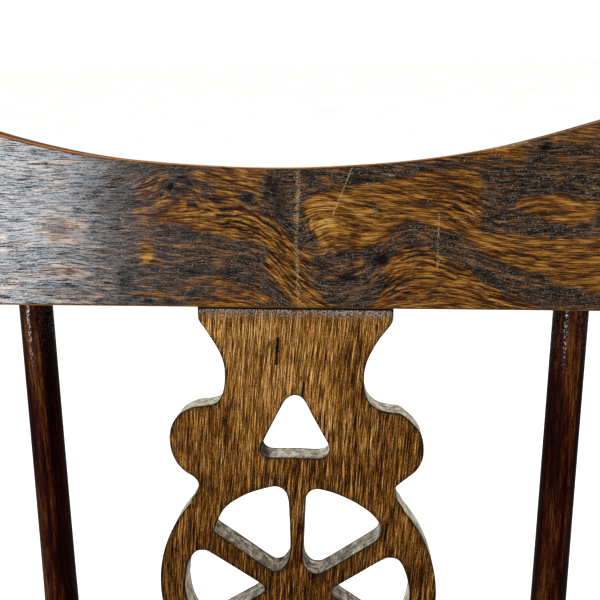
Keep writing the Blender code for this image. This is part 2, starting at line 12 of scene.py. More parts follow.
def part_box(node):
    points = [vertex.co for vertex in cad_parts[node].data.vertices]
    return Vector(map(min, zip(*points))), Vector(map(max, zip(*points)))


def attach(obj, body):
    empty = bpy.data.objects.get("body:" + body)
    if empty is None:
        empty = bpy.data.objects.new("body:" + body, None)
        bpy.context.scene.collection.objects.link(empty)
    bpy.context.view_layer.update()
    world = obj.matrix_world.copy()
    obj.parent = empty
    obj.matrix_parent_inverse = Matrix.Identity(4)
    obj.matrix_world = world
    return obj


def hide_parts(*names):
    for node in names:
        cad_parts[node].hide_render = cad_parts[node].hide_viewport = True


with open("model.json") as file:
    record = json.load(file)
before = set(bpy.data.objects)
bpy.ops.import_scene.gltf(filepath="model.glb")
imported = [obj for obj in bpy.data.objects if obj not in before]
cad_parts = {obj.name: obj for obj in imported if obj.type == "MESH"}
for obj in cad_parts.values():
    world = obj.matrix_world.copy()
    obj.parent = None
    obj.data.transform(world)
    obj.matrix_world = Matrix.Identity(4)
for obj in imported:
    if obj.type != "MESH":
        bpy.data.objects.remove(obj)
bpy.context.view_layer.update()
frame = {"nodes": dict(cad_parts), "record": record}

# The seat is one wide elm board, broader in front, with sawn round corners and an eased edge. Its top
# is scraped to a shallow dish, stained dark and waxed. Holes through it take the legs and the sticks,
# and a mortise takes the foot of the splat.

MM = 0.001
seat_low, seat_high = (np.array(corner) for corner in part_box("seat"))
SEAT_TOP = seat_high[2]
SEAT_THICKNESS = seat_high[2] - seat_low[2]
SEAT_HALF_FRONT = seat_high[0]
SEAT_HALF_BACK = 176 * MM
SEAT_FRONT_CORNER = 48 * MM
SEAT_BACK_CORNER = 36 * MM
SEAT_EDGE_ROUND = 6 * MM
DISH_DEPTH = 7 * MM
DISH_RIM = 46 * MM
DISH_HALF_WIDTH = 140.5 * MM
SEAT_RIM_STEP = 3 * MM
SEAT_LATTICE = 5 * MM
JOINT_GAP = 0.3 * MM
OVERRUN = 12 * MM

# The back leans away from the seat about the line where its middle plane meets the seat's top
BACK_LEAN = math.radians(12)
BACK_INSET = 47 * MM
BACK_RISE = 307.6 * MM
SPLAT_THICKNESS = 12.6 * MM
SPLAT_TENON = np.array([64, 18, 8]) * MM
SPLAT_MORTISE = SPLAT_TENON + [2 * JOINT_GAP, JOINT_GAP + OVERRUN, 2 * JOINT_GAP]
STICK_X = 132 * MM
STICK_SEAT_TENON_RADIUS = 7.5 * MM
TURNED_STEPS = 48
back_foot = np.array([0, seat_high[1] - BACK_INSET, SEAT_TOP])
back_axes = np.array([
    [1, 0, 0],
    [0, math.sin(BACK_LEAN), math.cos(BACK_LEAN)],
    [0, -math.cos(BACK_LEAN), math.sin(BACK_LEAN)],
])

# Where the axis of each right leg meets the floor and the seat's top, from its foot and its splay
feet = {mount["name"]: np.array(mount["pos_m"], float) for mount in frame["record"]["mounts"]}
LEG_SPLAY = {"front": (-40, 38), "rear": (-40, -62)}
LEG_ENDS = {
    row: (feet[f"{row}_right_foot"], feet[f"{row}_right_foot"] + [x * MM, y * MM, SEAT_TOP])
    for row, (x, y) in LEG_SPLAY.items()
}
LEG_TENON_RADIUS = 12 * MM


def through(points, closed=False, steps=8):
    """A smooth line through the points: between two of them a cubic, whose slope at each end is half
    the chord from the point before to the point after. A point given twice makes a sharp corner."""
    fixed = np.array(points, float)
    if closed:
        row = np.vstack([fixed[-1:], fixed, fixed[:2]])
    else:
        row = np.vstack([2 * fixed[:1] - fixed[1:2], fixed, 2 * fixed[-1:] - fixed[-2:-1]])
    a, b, c, d = (row[i:len(row) - 3 + i, None] for i in range(4))
    t = (np.arange(steps) / steps)[None, :, None]
    curve = b + 0.5 * ((c - a) * t + (2 * a - 5 * b + 4 * c - d) * t**2 + (3 * b - a - 3 * c + d) * t**3)
    moving = np.linalg.norm((c - b)[:, 0], axis=1) > 0
    curve = curve[moving].reshape(-1, fixed.shape[1])
    return curve if closed else np.vstack([curve, fixed[-1:]])


def arc(centre, radius, first, last, steps=24):
    """Points round a centre: centre + radius (cos a, sin a), with a from first to last."""
    angles = np.linspace(first, last, steps + 1)
    return np.array(centre) + radius * np.stack([np.cos(angles), np.sin(angles)], axis=1)


def rounded(corners):
    """A closed anticlockwise outline from (x, y, radius) corners: each becomes an arc that touches both
    of its sides, and a corner of radius zero stays a point."""
    outline = []
    spots = np.array(corners, float)
    for i, (x, y, radius) in enumerate(spots):
        here = np.array([x, y])
        if radius == 0:
            outline.append(here[None])
            continue
        before = spots[i - 1, :2] - here
        after = spots[(i + 1) % len(spots), :2] - here
        before /= np.linalg.norm(before)
        after /= np.linalg.norm(after)
        half = math.acos(before @ after) / 2
        middle = (before + after) / np.linalg.norm(before + after)
        first = math.atan2(before[0], -before[1])
        centre = here + middle * radius / math.sin(half)
        outline.append(arc(centre, radius, first, first + math.pi - 2 * half))
    return np.vstack(outline)


def evenly(outline, step):
    """The same closed line with its points at equal steps: the way walked along it is cut in even parts."""
    line = np.vstack([outline, outline[:1]])
    walked = np.concatenate([[0], np.cumsum(np.linalg.norm(np.diff(line, axis=0), axis=1))])
    count = round(walked[-1] / step)
    at = np.arange(count) * walked[-1] / count
    return np.stack([np.interp(at, walked, line[:, k]) for k in (0, 1)], axis=1)


def drawn_in(outline, distance):
    """The outline moved to its left, each point along the mean of the normals of its two sides."""
    side = np.roll(outline, -1, axis=0) - outline
    side /= np.linalg.norm(side, axis=1)[:, None]
    left = np.stack([-side[:, 1], side[:, 0]], axis=1)
    mean = left + np.roll(left, 1, axis=0)
    mean /= np.linalg.norm(mean, axis=1)[:, None]
    return outline + distance * mean / np.clip((mean * left).sum(axis=1), 0.5, 1)[:, None]


# So many spots at a time are measured against a line
RUN_ROWS = 2000


def runs(count):
    """The numbers from 0 up to count, cut into short runs."""
    return np.array_split(np.arange(count), 1 + count // RUN_ROWS)


def nearest(spots, line):
    """How far each spot is from the nearest point of the line."""
    gaps = np.empty(len(spots))
    for run in runs(len(spots)):
        gaps[run] = np.linalg.norm(spots[run, None] - line, axis=2).min(axis=1)
    return gaps


def inside(spots, outlines):
    """True where a line to the right crosses the outlines an odd number of times."""
    odd = np.zeros(len(spots), bool)
    for outline in outlines:
        x0, y0 = outline.T
        x1, y1 = np.roll(outline, -1, axis=0).T
        slope = (x1 - x0) / np.where(y1 == y0, 1, y1 - y0)
        for run in runs(len(spots)):
            x, y = spots[run, :1], spots[run, 1:]
            crosses = ((y0 > y) != (y1 > y)) & (x < x0 + slope * (y - y0))
            odd[run] ^= crosses.sum(axis=1) % 2 == 1
    return odd


# Lattice places nearer to a rim than this share of the spacing are left out
CLEAR_SHARE = 0.6
WELD = 1e-7


def fill(rims, spacing):
    """Triangles over the wood inside these rims, with an even lattice of places between them: the
    lattice, and the corners of each triangle, counted over the rims' points and then the lattice."""
    flat = np.vstack(rims)
    low, high = flat.min(axis=0), flat.max(axis=0)
    columns = np.arange(low[0], high[0], spacing)
    rows = np.arange(low[1], high[1], spacing * math.sqrt(3) / 2)
    across, up = np.meshgrid(columns, rows)
    across[1::2] += spacing / 2
    lattice = np.stack([across.ravel(), up.ravel()], axis=1)
    lattice = lattice[inside(lattice, rims)]
    lattice = lattice[nearest(lattice, flat) > CLEAR_SHARE * spacing]

    sides = []
    start = 0
    for rim in rims:
        index = start + np.arange(len(rim))
        sides += np.stack([index, np.roll(index, -1)], axis=1).tolist()
        start += len(rim)
    filled = delaunay_2d_cdt(np.vstack([flat, lattice]).tolist(), sides, [], 0, WELD)
    origin = np.array([source[0] for source in filled[3]])
    triangles = np.array(filled[2])
    spots = np.array([tuple(spot) for spot in filled[0]])
    triangles = triangles[inside(spots[triangles].mean(axis=1), rims)]
    return lattice, origin[triangles]


def board(name, outlines, edge, spacing):
    """A board with x and y on its face and z towards the viewer. The edge profile, (inset, height,
    wear) from the front to the back, is carried round each outline, and both faces are filled with
    triangles over an even lattice. The wood is to the left of each outline."""
    rings = [[drawn_in(outline, inset) for inset, height, wear in edge] for outline in outlines]
    front_fill = fill([ring[0] for ring in rings], spacing)
    alike = edge[0][0] == edge[-1][0]
    back_fill = front_fill if alike else fill([ring[-1] for ring in rings], spacing)

    vertices = []
    worn = []
    faces = []
    front_rim = []
    back_rim = []
    start = 0
    for ring in rings:
        count = len(ring[0])
        for (inset, height, wear), loop in zip(edge, ring):
            vertices.append(np.column_stack([loop, np.full(count, height)]))
            worn.append(np.full(count, wear))
        index = start + np.arange(count * len(edge)).reshape(len(edge), count)
        turned_on = np.roll(index, -1, axis=1)
        quads = np.stack([index[:-1], index[1:], turned_on[1:], turned_on[:-1]], axis=-1)
        faces += quads.reshape(-1, 4).tolist()
        front_rim.append(index[0])
        back_rim.append(index[-1])
        start += index.size
    for rim, (lattice, triangles), height, turned in (
        (front_rim, front_fill, edge[0][1], False), (back_rim, back_fill, edge[-1][1], True),
    ):
        vertices.append(np.column_stack([lattice, np.full(len(lattice), height)]))
        worn.append(np.zeros(len(lattice)))
        corners = np.concatenate([*rim, start + np.arange(len(lattice))])[triangles]
        faces += (corners[:, ::-1] if turned else corners).tolist()
        start += len(lattice)
    made = build(name, np.vstack(vertices), faces)
    keep(made, "arris", np.concatenate(worn))
    return made


def both_sides(edge, thickness):
    """An edge profile for the front, and the same turned over for the back."""
    return list(edge) + [(inset, -thickness - height, wear) for inset, height, wear in reversed(edge)]


def build(name, vertices, faces):
    """A mesh object from places and corner lists."""
    mesh = bpy.data.meshes.new(name)
    mesh.from_pydata(np.asarray(vertices).tolist(), [], faces)
    made = bpy.data.objects.new(name, mesh)
    bpy.context.scene.collection.objects.link(made)
    return made


def places(made):
    """Every vertex of a piece, one row each."""
    flat = np.empty(3 * len(made.data.vertices))
    made.data.vertices.foreach_get("co", flat)
    return flat.reshape(-1, 3)


def move(made, spots):
    """Put a piece's vertices at these places."""
    made.data.vertices.foreach_set("co", np.ascontiguousarray(spots, dtype=np.float32).ravel())
    made.data.update()


def keep(made, name, values):
    """Keep a number or a vector at each vertex, for the material to read."""
    kind, field = ("FLOAT", "value") if values.ndim == 1 else ("FLOAT_VECTOR", "vector")
    attribute = made.data.attributes.new(name, kind, "POINT")
    attribute.data.foreach_set(field, np.ascontiguousarray(values, dtype=np.float32).ravel())


def axes_along(direction):
    """Three unit rows: the direction last, and before it two ways across it. The first of them is near X,
    or level where the direction itself is near X."""
    up = np.array(direction, float) / np.linalg.norm(direction)
    if abs(up[0]) < 0.9:
        depth = np.cross(up, [1, 0, 0])
        depth /= np.linalg.norm(depth)
        return np.array([np.cross(depth, up), depth, up])
    across = np.cross([0, 0, 1], up)
    across /= np.linalg.norm(across)
    return np.array([across, np.cross(up, across), up])


def lathe(profile, steps):
    """A turned shape: each (radius, height) of the profile, bottom to top, goes round as
    (radius cos a, radius sin a, height). The first and the last point are the poles."""
    profile = np.array(profile, float)
    angles = np.arange(steps) * math.tau / steps
    radii, heights = profile[1:-1].T
    rows = np.stack([
        radii[:, None] * np.cos(angles), radii[:, None] * np.sin(angles),
        heights[:, None] + 0 * angles,
    ], axis=-1)
    vertices = np.vstack([rows.reshape(-1, 3), [0, 0, profile[0, 1]], [0, 0, profile[-1, 1]]])
    index = np.arange(rows.shape[0] * steps).reshape(-1, steps)
    after = np.roll(index, -1, axis=1)
    faces = np.stack([index[:-1], after[:-1], after[1:], index[1:]], axis=-1).reshape(-1, 4).tolist()
    bottom, top = index.size, index.size + 1
    faces += np.stack([np.full(steps, bottom), after[0], index[0]], axis=1).tolist()
    faces += np.stack([index[-1], after[-1], np.full(steps, top)], axis=1).tolist()
    return vertices, faces


def rod(radius, start, end, steps=32):
    """A plain round cutter from start to end."""
    length = np.linalg.norm(np.subtract(end, start))
    vertices, faces = lathe([(0, 0), (radius, 0), (radius, length), (0, length)], steps)
    return start + vertices @ axes_along(np.subtract(end, start)), faces


def block(size, centre, axes=np.eye(3), taper=0):
    """A box of this size about its centre. With a taper it is a wedge, thinner in x towards -z."""
    corners = np.array([[x, y, z] for x in (-1, 1) for y in (-1, 1) for z in (-1, 1)]) * np.array(size) / 2
    corners[:, 0] *= 1 + taper * corners[:, 2]
    faces = [[0, 1, 3, 2], [4, 6, 7, 5], [0, 4, 5, 1], [2, 3, 7, 6], [0, 2, 6, 4], [1, 5, 7, 3]]
    return np.array(centre) + corners @ axes, faces


def cut(made, shapes, operation="DIFFERENCE"):
    """Take shapes, (places, faces) that don't touch each other, from a piece, or join them on. The
    result is applied, so no modifier and no cutter is left."""
    start = 0
    vertices = []
    faces = []
    for spots, corners in shapes:
        vertices.append(spots)
        faces += [[start + corner for corner in face] for face in corners]
        start += len(spots)
    tool = build("tool", np.vstack(vertices), faces)
    modifier = made.modifiers.new("cut", "BOOLEAN")
    modifier.operation = operation
    modifier.solver = "EXACT"
    modifier.object = tool
    bpy.context.view_layer.update()
    evaluated = made.evaluated_get(bpy.context.evaluated_depsgraph_get())
    result = bpy.data.meshes.new_from_object(evaluated)
    made.modifiers.clear()
    made.data = result
    bpy.data.objects.remove(tool)


def smooth(made, angle=35):
    """Round shading, with the arrises kept crisp."""
    made.data.shade_smooth()
    made.data.set_sharp_from_angle(angle=math.radians(angle))


def oval(u, v, x, y, half_x, half_y, turn):
    """The square of r, the distance from (x, y) counted in the half sizes of an oval turned by degrees."""
    c, s = math.cos(math.radians(turn)), math.sin(math.radians(turn))
    return (((u - x) * c + (v - y) * s) / half_x)**2 + (((v - y) * c - (u - x) * s) / half_y)**2


def hills(u, v, table):
    """The sum of soft hills, each rise x exp(-r squared), from (x, y, half sizes, turn, rise)."""
    return sum(rise * np.exp(-oval(u, v, *place)) for *place, rise in table)


def patches(u, v, start, table):
    """A level laid over in turn with soft patches, (x, y, half sizes, turn, target):
    level + w (target - level), with w = exp(-r to the 4th)."""
    level = start + 0 * u
    for *place, target in table:
        level += np.exp(-oval(u, v, *place)**2) * (target - level)
    return level


def wander(u, v, size, seed):
    """A slow wavy field between -1 and 1: the mean of four crossed sines of unlike lengths."""
    turns = np.array([0.3, 1.7, 2.9, 4.4]) + seed
    waves = [np.sin((u * np.cos(t) + v * np.sin(t)) / (size * (0.5 + 0.17 * i)) + 5 * t)
             for i, t in enumerate(turns)]
    return np.mean(waves, axis=0)


seat_front, seat_back = seat_low[1], seat_high[1]
seat_outline = evenly(rounded([
    (-SEAT_HALF_FRONT, seat_front, SEAT_FRONT_CORNER), (SEAT_HALF_FRONT, seat_front, SEAT_FRONT_CORNER),
    (SEAT_HALF_BACK, seat_back, SEAT_BACK_CORNER), (-SEAT_HALF_BACK, seat_back, SEAT_BACK_CORNER),
]), SEAT_RIM_STEP)
SEAT_EDGE_WEAR = 0.8
quarter_turn = np.linspace(0, math.pi / 2, 7)
seat_edge = [
    (SEAT_EDGE_ROUND * (1 - math.sin(a)), -SEAT_EDGE_ROUND * (1 - math.cos(a)),
     SEAT_EDGE_WEAR * math.sin(2 * a))
    for a in quarter_turn
]
seat = board("seat_board", [seat_outline], both_sides(seat_edge, SEAT_THICKNESS), SEAT_LATTICE)

# The dish, shallower with the square of the distance from its middle
spots = places(seat)
dish_front, dish_back = seat_front + DISH_RIM, back_foot[1] - DISH_RIM
dish_reach = np.hypot(
    spots[:, 0] / DISH_HALF_WIDTH,
    (spots[:, 1] - (dish_front + dish_back) / 2) / ((dish_back - dish_front) / 2),
)
spots[:, 2] -= np.where(spots[:, 2] > -MM, DISH_DEPTH * np.clip(1 - dish_reach**2, 0, 1), 0)
spots[:, 2] += SEAT_TOP
move(seat, spots)

holes = []
for row in LEG_ENDS.values():
    for side in (-1, 1):
        foot, head = (end * [side, 1, 1] for end in row)
        along = axes_along(head - foot)[2]
        holes.append(rod(
            LEG_TENON_RADIUS + JOINT_GAP, head - along * (SEAT_THICKNESS + 2 * OVERRUN),
            head + along * OVERRUN, steps=TURNED_STEPS,
        ))
for side in (-1, 1):
    middle = back_foot + [side * STICK_X, 0, 0]
    holes.append(rod(
        STICK_SEAT_TENON_RADIUS + JOINT_GAP, middle - back_axes[1] * (SEAT_THICKNESS + 2 * OVERRUN),
        middle + back_axes[1] * OVERRUN,
    ))
holes.append(block(SPLAT_MORTISE, back_foot + back_axes[1] * (OVERRUN - SPLAT_MORTISE[1] / 2), back_axes))
cut(seat, holes)
smooth(seat)

# The seat's figure in millimetres from the middle: hills bend its lines, and patches make it pale or dark
spots = places(seat)
u, v = spots[:, 0] / MM, spots[:, 1] / MM
SEAT_HILLS = [
    (-60, -40, 90, 38, 4, 60), (70, 30, 120, 30, -3, -46), (150, -90, 60, 28, 8, 30),
    (-150, 90, 70, 30, -6, 34), (10, -150, 120, 26, 2, 26), (60, -60, 26, 12, 12, 16),
]
SEAT_PATCHES = [
    (-70, -45, 80, 14, 4, 0.66), (90, -20, 90, 16, -3, 0.32), (-120, 70, 80, 15, -6, 0.34),
    (40, 90, 110, 14, 2, 0.63), (150, -110, 50, 14, 8, 0.65), (-20, -140, 130, 12, 2, 0.36),
    (0, 20, 70, 8, 3, 0.60), (60, -62, 26, 7, 12, 0.72), (-150, -100, 60, 9, -3, 0.30),
    (120, 50, 80, 8, 4, 0.40), (-90, 130, 90, 9, 2, 0.62), (100, 145, 80, 7, -2, 0.36),
]

# The seat's streaks are coarser than the rail's
SEAT_FIGURE_SHARE = 0.62
SEAT_DEEP_SHARE = 1.3
SEAT_WAX = 0.8
bent = v + 3 * wander(u, v, 24, 0.4)
keep(seat, "gold", patches(u, bent, 0.50, SEAT_PATCHES))
keep(seat, "dull", np.clip(0.5 + 0.9 * wander(u, v, 26, 2.2), 0, 1))
keep(seat, "wax", np.full(len(spots), SEAT_WAX))
keep(seat, "grain", SEAT_FIGURE_SHARE * np.column_stack([
    spots[:, 0], (bent + hills(u, v, SEAT_HILLS)) * MM, spots[:, 2] * SEAT_DEEP_SHARE,
]))
keep(seat, "board", spots)


def srgb(red, green, blue):
    """A colour as a picture shows it, out of 255, made linear for the shader."""
    shown = np.array([red, green, blue]) / 255
    linear = np.where(shown > 0.04045, ((shown + 0.055) / 1.055) ** 2.4, shown / 12.92)
    return (*linear.tolist(), 1)


def feed(tree, node, inputs):
    """Set a node's inputs, each to a number or colour, or to the socket that feeds it."""
    for name, value in inputs.items():
        if isinstance(value, bpy.types.NodeSocket):
            tree.links.new(value, node.inputs[name])
        else:
            node.inputs[name].default_value = value


def add(tree, kind, settings=(), inputs=()):
    """One shader node with its settings and inputs: what comes out of it."""
    made = tree.nodes.new("ShaderNode" + kind)
    for name, value in dict(settings).items():
        setattr(made, name, value)
    feed(tree, made, dict(inputs))
    return made.outputs


def reckon(tree, operation, *values):
    """One step of arithmetic between sockets and numbers."""
    return add(tree, "Math", {"operation": operation}, dict(enumerate(values)))[0]


def combine(tree, operation, *vectors, out="Vector"):
    """One step of arithmetic between vectors."""
    return add(tree, "VectorMath", {"operation": operation}, dict(enumerate(vectors)))[out]


def fade(tree, value, low, high, first=0.0, last=1.0):
    """The value stretched from low..high to first..last, and held at both ends."""
    return add(tree, "MapRange", {}, {0: value, 1: low, 2: high, 3: first, 4: last})[0]


def mix(tree, share, first, second):
    """Two colours laid over each other by this share."""
    return add(tree, "Mix", {"data_type": "RGBA"}, {0: share, 6: first, 7: second})[2]


def ramp(tree, value, stops):
    """A colour read off a row of (share, colour) stops."""
    made = tree.nodes.new("ShaderNodeValToRGB")
    row = made.color_ramp.elements
    while len(row) < len(stops):
        row.new(0.5)
    for element, (share, colour) in zip(row, stops):
        element.position = share
        element.color = colour
    tree.links.new(value, made.inputs[0])
    return made.outputs[0]


def times(tree, *masks):
    """The product of masks and numbers."""
    product = masks[0]
    for mask in masks[1:]:
        product = reckon(tree, "MULTIPLY", product, mask)
    return product


def weighted(tree, base, *parts):
    """base + the sum of weight x (mask - 1/2)."""
    total = base
    for weight, mask in parts:
        centred = reckon(tree, "SUBTRACT", mask, 0.5)
        total = reckon(tree, "MULTIPLY_ADD", centred, weight, total)
    return total


def group(name, inputs, outputs):
    """An empty node group with these named sockets: its tree, what comes in and what goes out."""
    tree = bpy.data.node_groups.new(name, "ShaderNodeTree")
    for label, kind, value in inputs:
        socket = tree.interface.new_socket(label, in_out="INPUT", socket_type="NodeSocket" + kind)
        if value is not None:
            socket.default_value = value
    for label, kind in outputs:
        tree.interface.new_socket(label, in_out="OUTPUT", socket_type="NodeSocket" + kind)
    return tree, tree.nodes.new("NodeGroupInput").outputs, tree.nodes.new("NodeGroupOutput").inputs


def wood_streaks():
    """Streaks that run along the grain: noise on the grain's coordinates, each divided by the size
    that a streak has that way, stretched to the full range from 0 to 1."""
    tree, given, out = group("wood_streaks", [
        ("Grain", "Vector", None), ("Run", "Float", 0.02), ("Width", "Float", 0.001), ("Seed", "Float", 0),
    ], [("Mask", "Float")])
    parts = add(tree, "SeparateXYZ", {}, {0: given["Grain"]})
    along = reckon(tree, "DIVIDE", parts[0], given["Run"])
    across = reckon(tree, "DIVIDE", parts[1], given["Width"])
    deep = reckon(tree, "DIVIDE", parts[2], given["Width"])
    seeded = reckon(tree, "ADD", along, given["Seed"])
    place = add(tree, "CombineXYZ", {}, {0: seeded, 1: across, 2: deep})[0]
    noise = add(tree, "TexNoise", {}, {"Vector": place, "Scale": 1.0, "Detail": 2.0, "Roughness": 0.55})[0]
    tree.links.new(fade(tree, noise, 0.30, 0.70), out["Mask"])
    return tree


def scratch_mark():
    """A straight mark on a board: 1 within its width of the line from Start to End, broken by noise.
    Below 0.2, Breaks also calms the noise, down to a clean line at 0."""
    tree, given, out = group("scratch_mark", [
        ("Board", "Vector", None), ("Start", "Vector", (0, 0, 0)), ("End", "Vector", (0, 0.01, 0)),
        ("Width", "Float", 0.001), ("Breaks", "Float", 0.5),
    ], [("Mask", "Float")])
    flat = combine(tree, "MULTIPLY", given["Board"], (1, 1, 0))
    line = combine(tree, "SUBTRACT", given["End"], given["Start"])
    reach = combine(tree, "SUBTRACT", flat, given["Start"])
    onto = combine(tree, "DOT_PRODUCT", reach, line, out="Value")
    square = combine(tree, "DOT_PRODUCT", line, line, out="Value")
    share = add(tree, "Clamp", {}, {0: reckon(tree, "DIVIDE", onto, square)})[0]
    foot = combine(tree, "MULTIPLY", line, share)
    away = combine(tree, "DISTANCE", reach, foot, out="Value")
    core = fade(tree, reckon(tree, "DIVIDE", away, given["Width"]), 0.2, 1.3, 1.0, -0.2)
    cloud = add(tree, "TexNoise", {}, {"Vector": flat, "Scale": 150.0, "Detail": 1.0})[0]
    grit = add(tree, "TexNoise", {}, {"Vector": flat, "Scale": 1500.0, "Detail": 1.0})[0]
    noise = weighted(tree, 0.0, (1.1, cloud), (3.2, grit))
    ragged = fade(tree, given["Breaks"], 0.0, 0.2)
    dusty = reckon(tree, "MULTIPLY_ADD", noise, ragged, core)
    low, high = (reckon(tree, "ADD", given["Breaks"], shift) for shift in (0.2, 0.8))
    tree.links.new(fade(tree, dusty, low, high), out["Mask"])
    return tree


WOOD_STREAKS = wood_streaks()
SCRATCH_MARK = scratch_mark()


def streaks(tree, grain, run, width, seed):
    """The wood_streaks group placed with its own sizes, in millimetres."""
    return add(tree, "Group", {"node_tree": WOOD_STREAKS}, {
        "Grain": grain, "Run": run * MM, "Width": width * MM, "Seed": seed,
    })["Mask"]


def scratch(tree, place, start, end, width, breaks):
    """The scratch_mark group placed between two spots of a board, in millimetres."""
    return add(tree, "Group", {"node_tree": SCRATCH_MARK}, {
        "Board": place, "Start": (start[0] * MM, start[1] * MM, 0), "End": (end[0] * MM, end[1] * MM, 0),
        "Width": width * MM, "Breaks": breaks,
    })["Mask"]


def finish(name):
    """A material's tree and its Principled shader."""
    made = bpy.data.materials.new(name)
    made.use_nodes = True
    return made, made.node_tree, made.node_tree.nodes["Principled BSDF"]


def dress(made, *materials):
    """Give a piece these materials and no others."""
    made.data.materials.clear()
    for material in materials:
        made.data.materials.append(material)


def stored(tree, *names, out="Fac"):
    """Numbers kept at the vertices, or with out="Vector" the vectors kept there."""
    return [add(tree, "Attribute", {"attribute_name": name})[out] for name in names]


def bump(tree, height, strength, depth):
    """The normals of fine relief on the surface, its depth in millimetres."""
    return add(tree, "Bump", {}, {"Strength": strength, "Distance": depth * MM, "Height": height})[0]


ELM_COLOURS = [
    (0.00, srgb(7, 5, 5)), (0.22, srgb(26, 17, 12)), (0.38, srgb(50, 32, 20)),
    (0.52, srgb(88, 50, 15)), (0.68, srgb(120, 77, 25)), (1.00, srgb(158, 114, 58)),
]
RIB_PITCH = 2.1


def stained_elm(name, marks=()):
    """Dark stained elm, waxed: figure from black-brown to gold that follows the grain, ribbed where the
    grain dives, under fine level fibres. The wax lies thick on dark wood and thin on the gold."""
    made, tree, shader = finish(name)
    gold, arris, ribbed, dull, waxed = stored(tree, "gold", "arris", "ribs", "dull", "wax")
    grain, place = stored(tree, "grain", "board", out="Vector")

    # The wood: fine fibres lie halfway between the figure's own lines and the board's length
    halves = [combine(tree, "MULTIPLY", way, (0.5, 0.5, 0.5)) for way in (grain, place)]
    fibre = combine(tree, "ADD", *halves)
    fine = streaks(tree, fibre, 6.5, 0.42, 3.1)
    lines = fade(tree, streaks(tree, fibre, 8.0, 0.50, 9.1), 0.58, 0.74)
    bands = fade(tree, streaks(tree, grain, 15.0, 1.1, 7.7), 0.15, 0.85)
    rings = streaks(tree, grain, 60.0, 2.6, 1.9)
    clouds = streaks(tree, place, 13.0, 5.0, 8.2)
    speckle = streaks(tree, place, 1.3, 0.45, 5.3)
    across = reckon(tree, "DIVIDE", add(tree, "SeparateXYZ", {}, {0: grain})[1], RIB_PITCH * MM)
    bent = weighted(tree, across, (1.3, streaks(tree, grain, 12.0, 5.0, 4.4)))
    wave = reckon(tree, "SINE", times(tree, bent, math.tau))
    dashes = weighted(tree, 0.5, (0.5, wave), (0.9, streaks(tree, grain, 7.0, 1.1, 2.6)))
    ribs = times(tree, fade(tree, dashes, 0.30, 0.65), ribbed)
    figure = weighted(
        tree, gold, (0.52, fine), (0.36, bands), (0.12, rings), (0.12, clouds), (0.14, speckle),
    )
    level = reckon(tree, "MULTIPLY_ADD", ribs, -0.44, figure)
    colour = ramp(tree, level, ELM_COLOURS)
    deep = mix(tree, fade(tree, gold, 0.36, 0.50), srgb(10, 7, 6), srgb(42, 16, 4))
    dark = mix(tree, times(tree, lines, 0.84), colour, deep)

    # Pale dust in the dry fibres of the dark wood, and pale specks in its pores that are partly dust and
    # partly painted glints of the wax, but none in its blackest spots
    clear = fade(tree, gold, 0.08, 0.24)
    dry = times(tree, fade(tree, streaks(tree, fibre, 4.0, 0.40, 6.8), 0.56, 0.88), clear)
    dusty = times(tree, dry, fade(tree, gold, 0.34, 0.54, 0.34, 0.0))
    dimmed = mix(tree, dusty, dark, srgb(108, 90, 70))
    pores = times(tree, fade(tree, streaks(tree, place, 1.0, 0.50, 2.4), 0.80, 0.98), clear)
    # Painted glints, partly real dust: sparse pale specks in the pores of the mid-dark wood
    specks_and_glints = times(tree, pores, fade(tree, gold, 0.32, 0.50, 0.60, 0.0))
    fibres = mix(tree, specks_and_glints, dimmed, srgb(152, 144, 136))

    # The arrises are rubbed down to orange wood, and grime dulls that again in places
    worn = fade(tree, reckon(tree, "MULTIPLY_ADD", fine, 0.5, arris), 0.72, 1.12)
    rubbed_edge = mix(tree, fade(tree, arris, 0.70, 0.95), srgb(92, 56, 20), srgb(156, 98, 46))
    grimed = times(tree, dull, fade(tree, fine, 0.15, 0.7, 1.0, 0.6))
    edging = mix(tree, grimed, rubbed_edge, srgb(22, 13, 9))
    eased = mix(tree, worn, fibres, edging)
    for start, end, width, breaks in marks:
        mask = scratch(tree, place, start, end, width, breaks)
        eased = mix(tree, times(tree, mask, 0.60), eased, srgb(158, 138, 100))

    # The wax is smeared along the fibres. It is thin on the arrises, the gold and the blackest spots
    smeared = weighted(tree, 0.34, (0.78, fine), (0.75, speckle), (-0.60, lines))
    filled = times(tree, fade(tree, clear, 0, 1, 0.12, 1.0), fade(tree, gold, 0.44, 0.54, 1.0, 0.12))
    wax = times(tree, smeared, waxed, filled, fade(tree, arris, 0.3, 0.6, 1.0, 0.08))
    feed(tree, shader, {
        "Base Color": eased, "Roughness": 0.5, "Specular IOR Level": 0.02,
        "Coat Weight": add(tree, "Clamp", {}, {0: wax, 1: 0.02})[0], "Coat Roughness": 0.24,
        "Normal": bump(tree, weighted(tree, 0.5, (0.5, fine), (-0.7, lines)), 0.5, 0.12),
    })
    return made


# Scuffs: start, end, width and breaks
SEAT_MARKS = [
    ((-40, -60), (10, -95), 0.8, 0.52), ((70, 20), (96, 8), 0.7, 0.5), ((-90, 40), (-60, 52), 0.7, 0.52),
]
dress(seat, stained_elm("seat_elm", SEAT_MARKS))
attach(seat, "root")
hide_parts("seat")

# Four legs are turned between centres, with a bead between two coves, and driven up through the
# seat. Each tenon is sawn level with the seat's top and spread there with a wedge.

LEG_RADIUS = 17.5 * MM
LEG_WEDGE_HEAD = 3.2 * MM
LEG_WEDGE_DEPTH = 22 * MM
WEDGE_TIP_SHARE = 0.35
STRETCHER_HEIGHT = 132 * MM
STRETCHER_TENON_RADIUS = 7.8 * MM
STRETCHER_PAST_AXIS = 4 * MM
FOOT_EASE = 1.2 * MM
FOOT_TILT_SHARE = 0.35

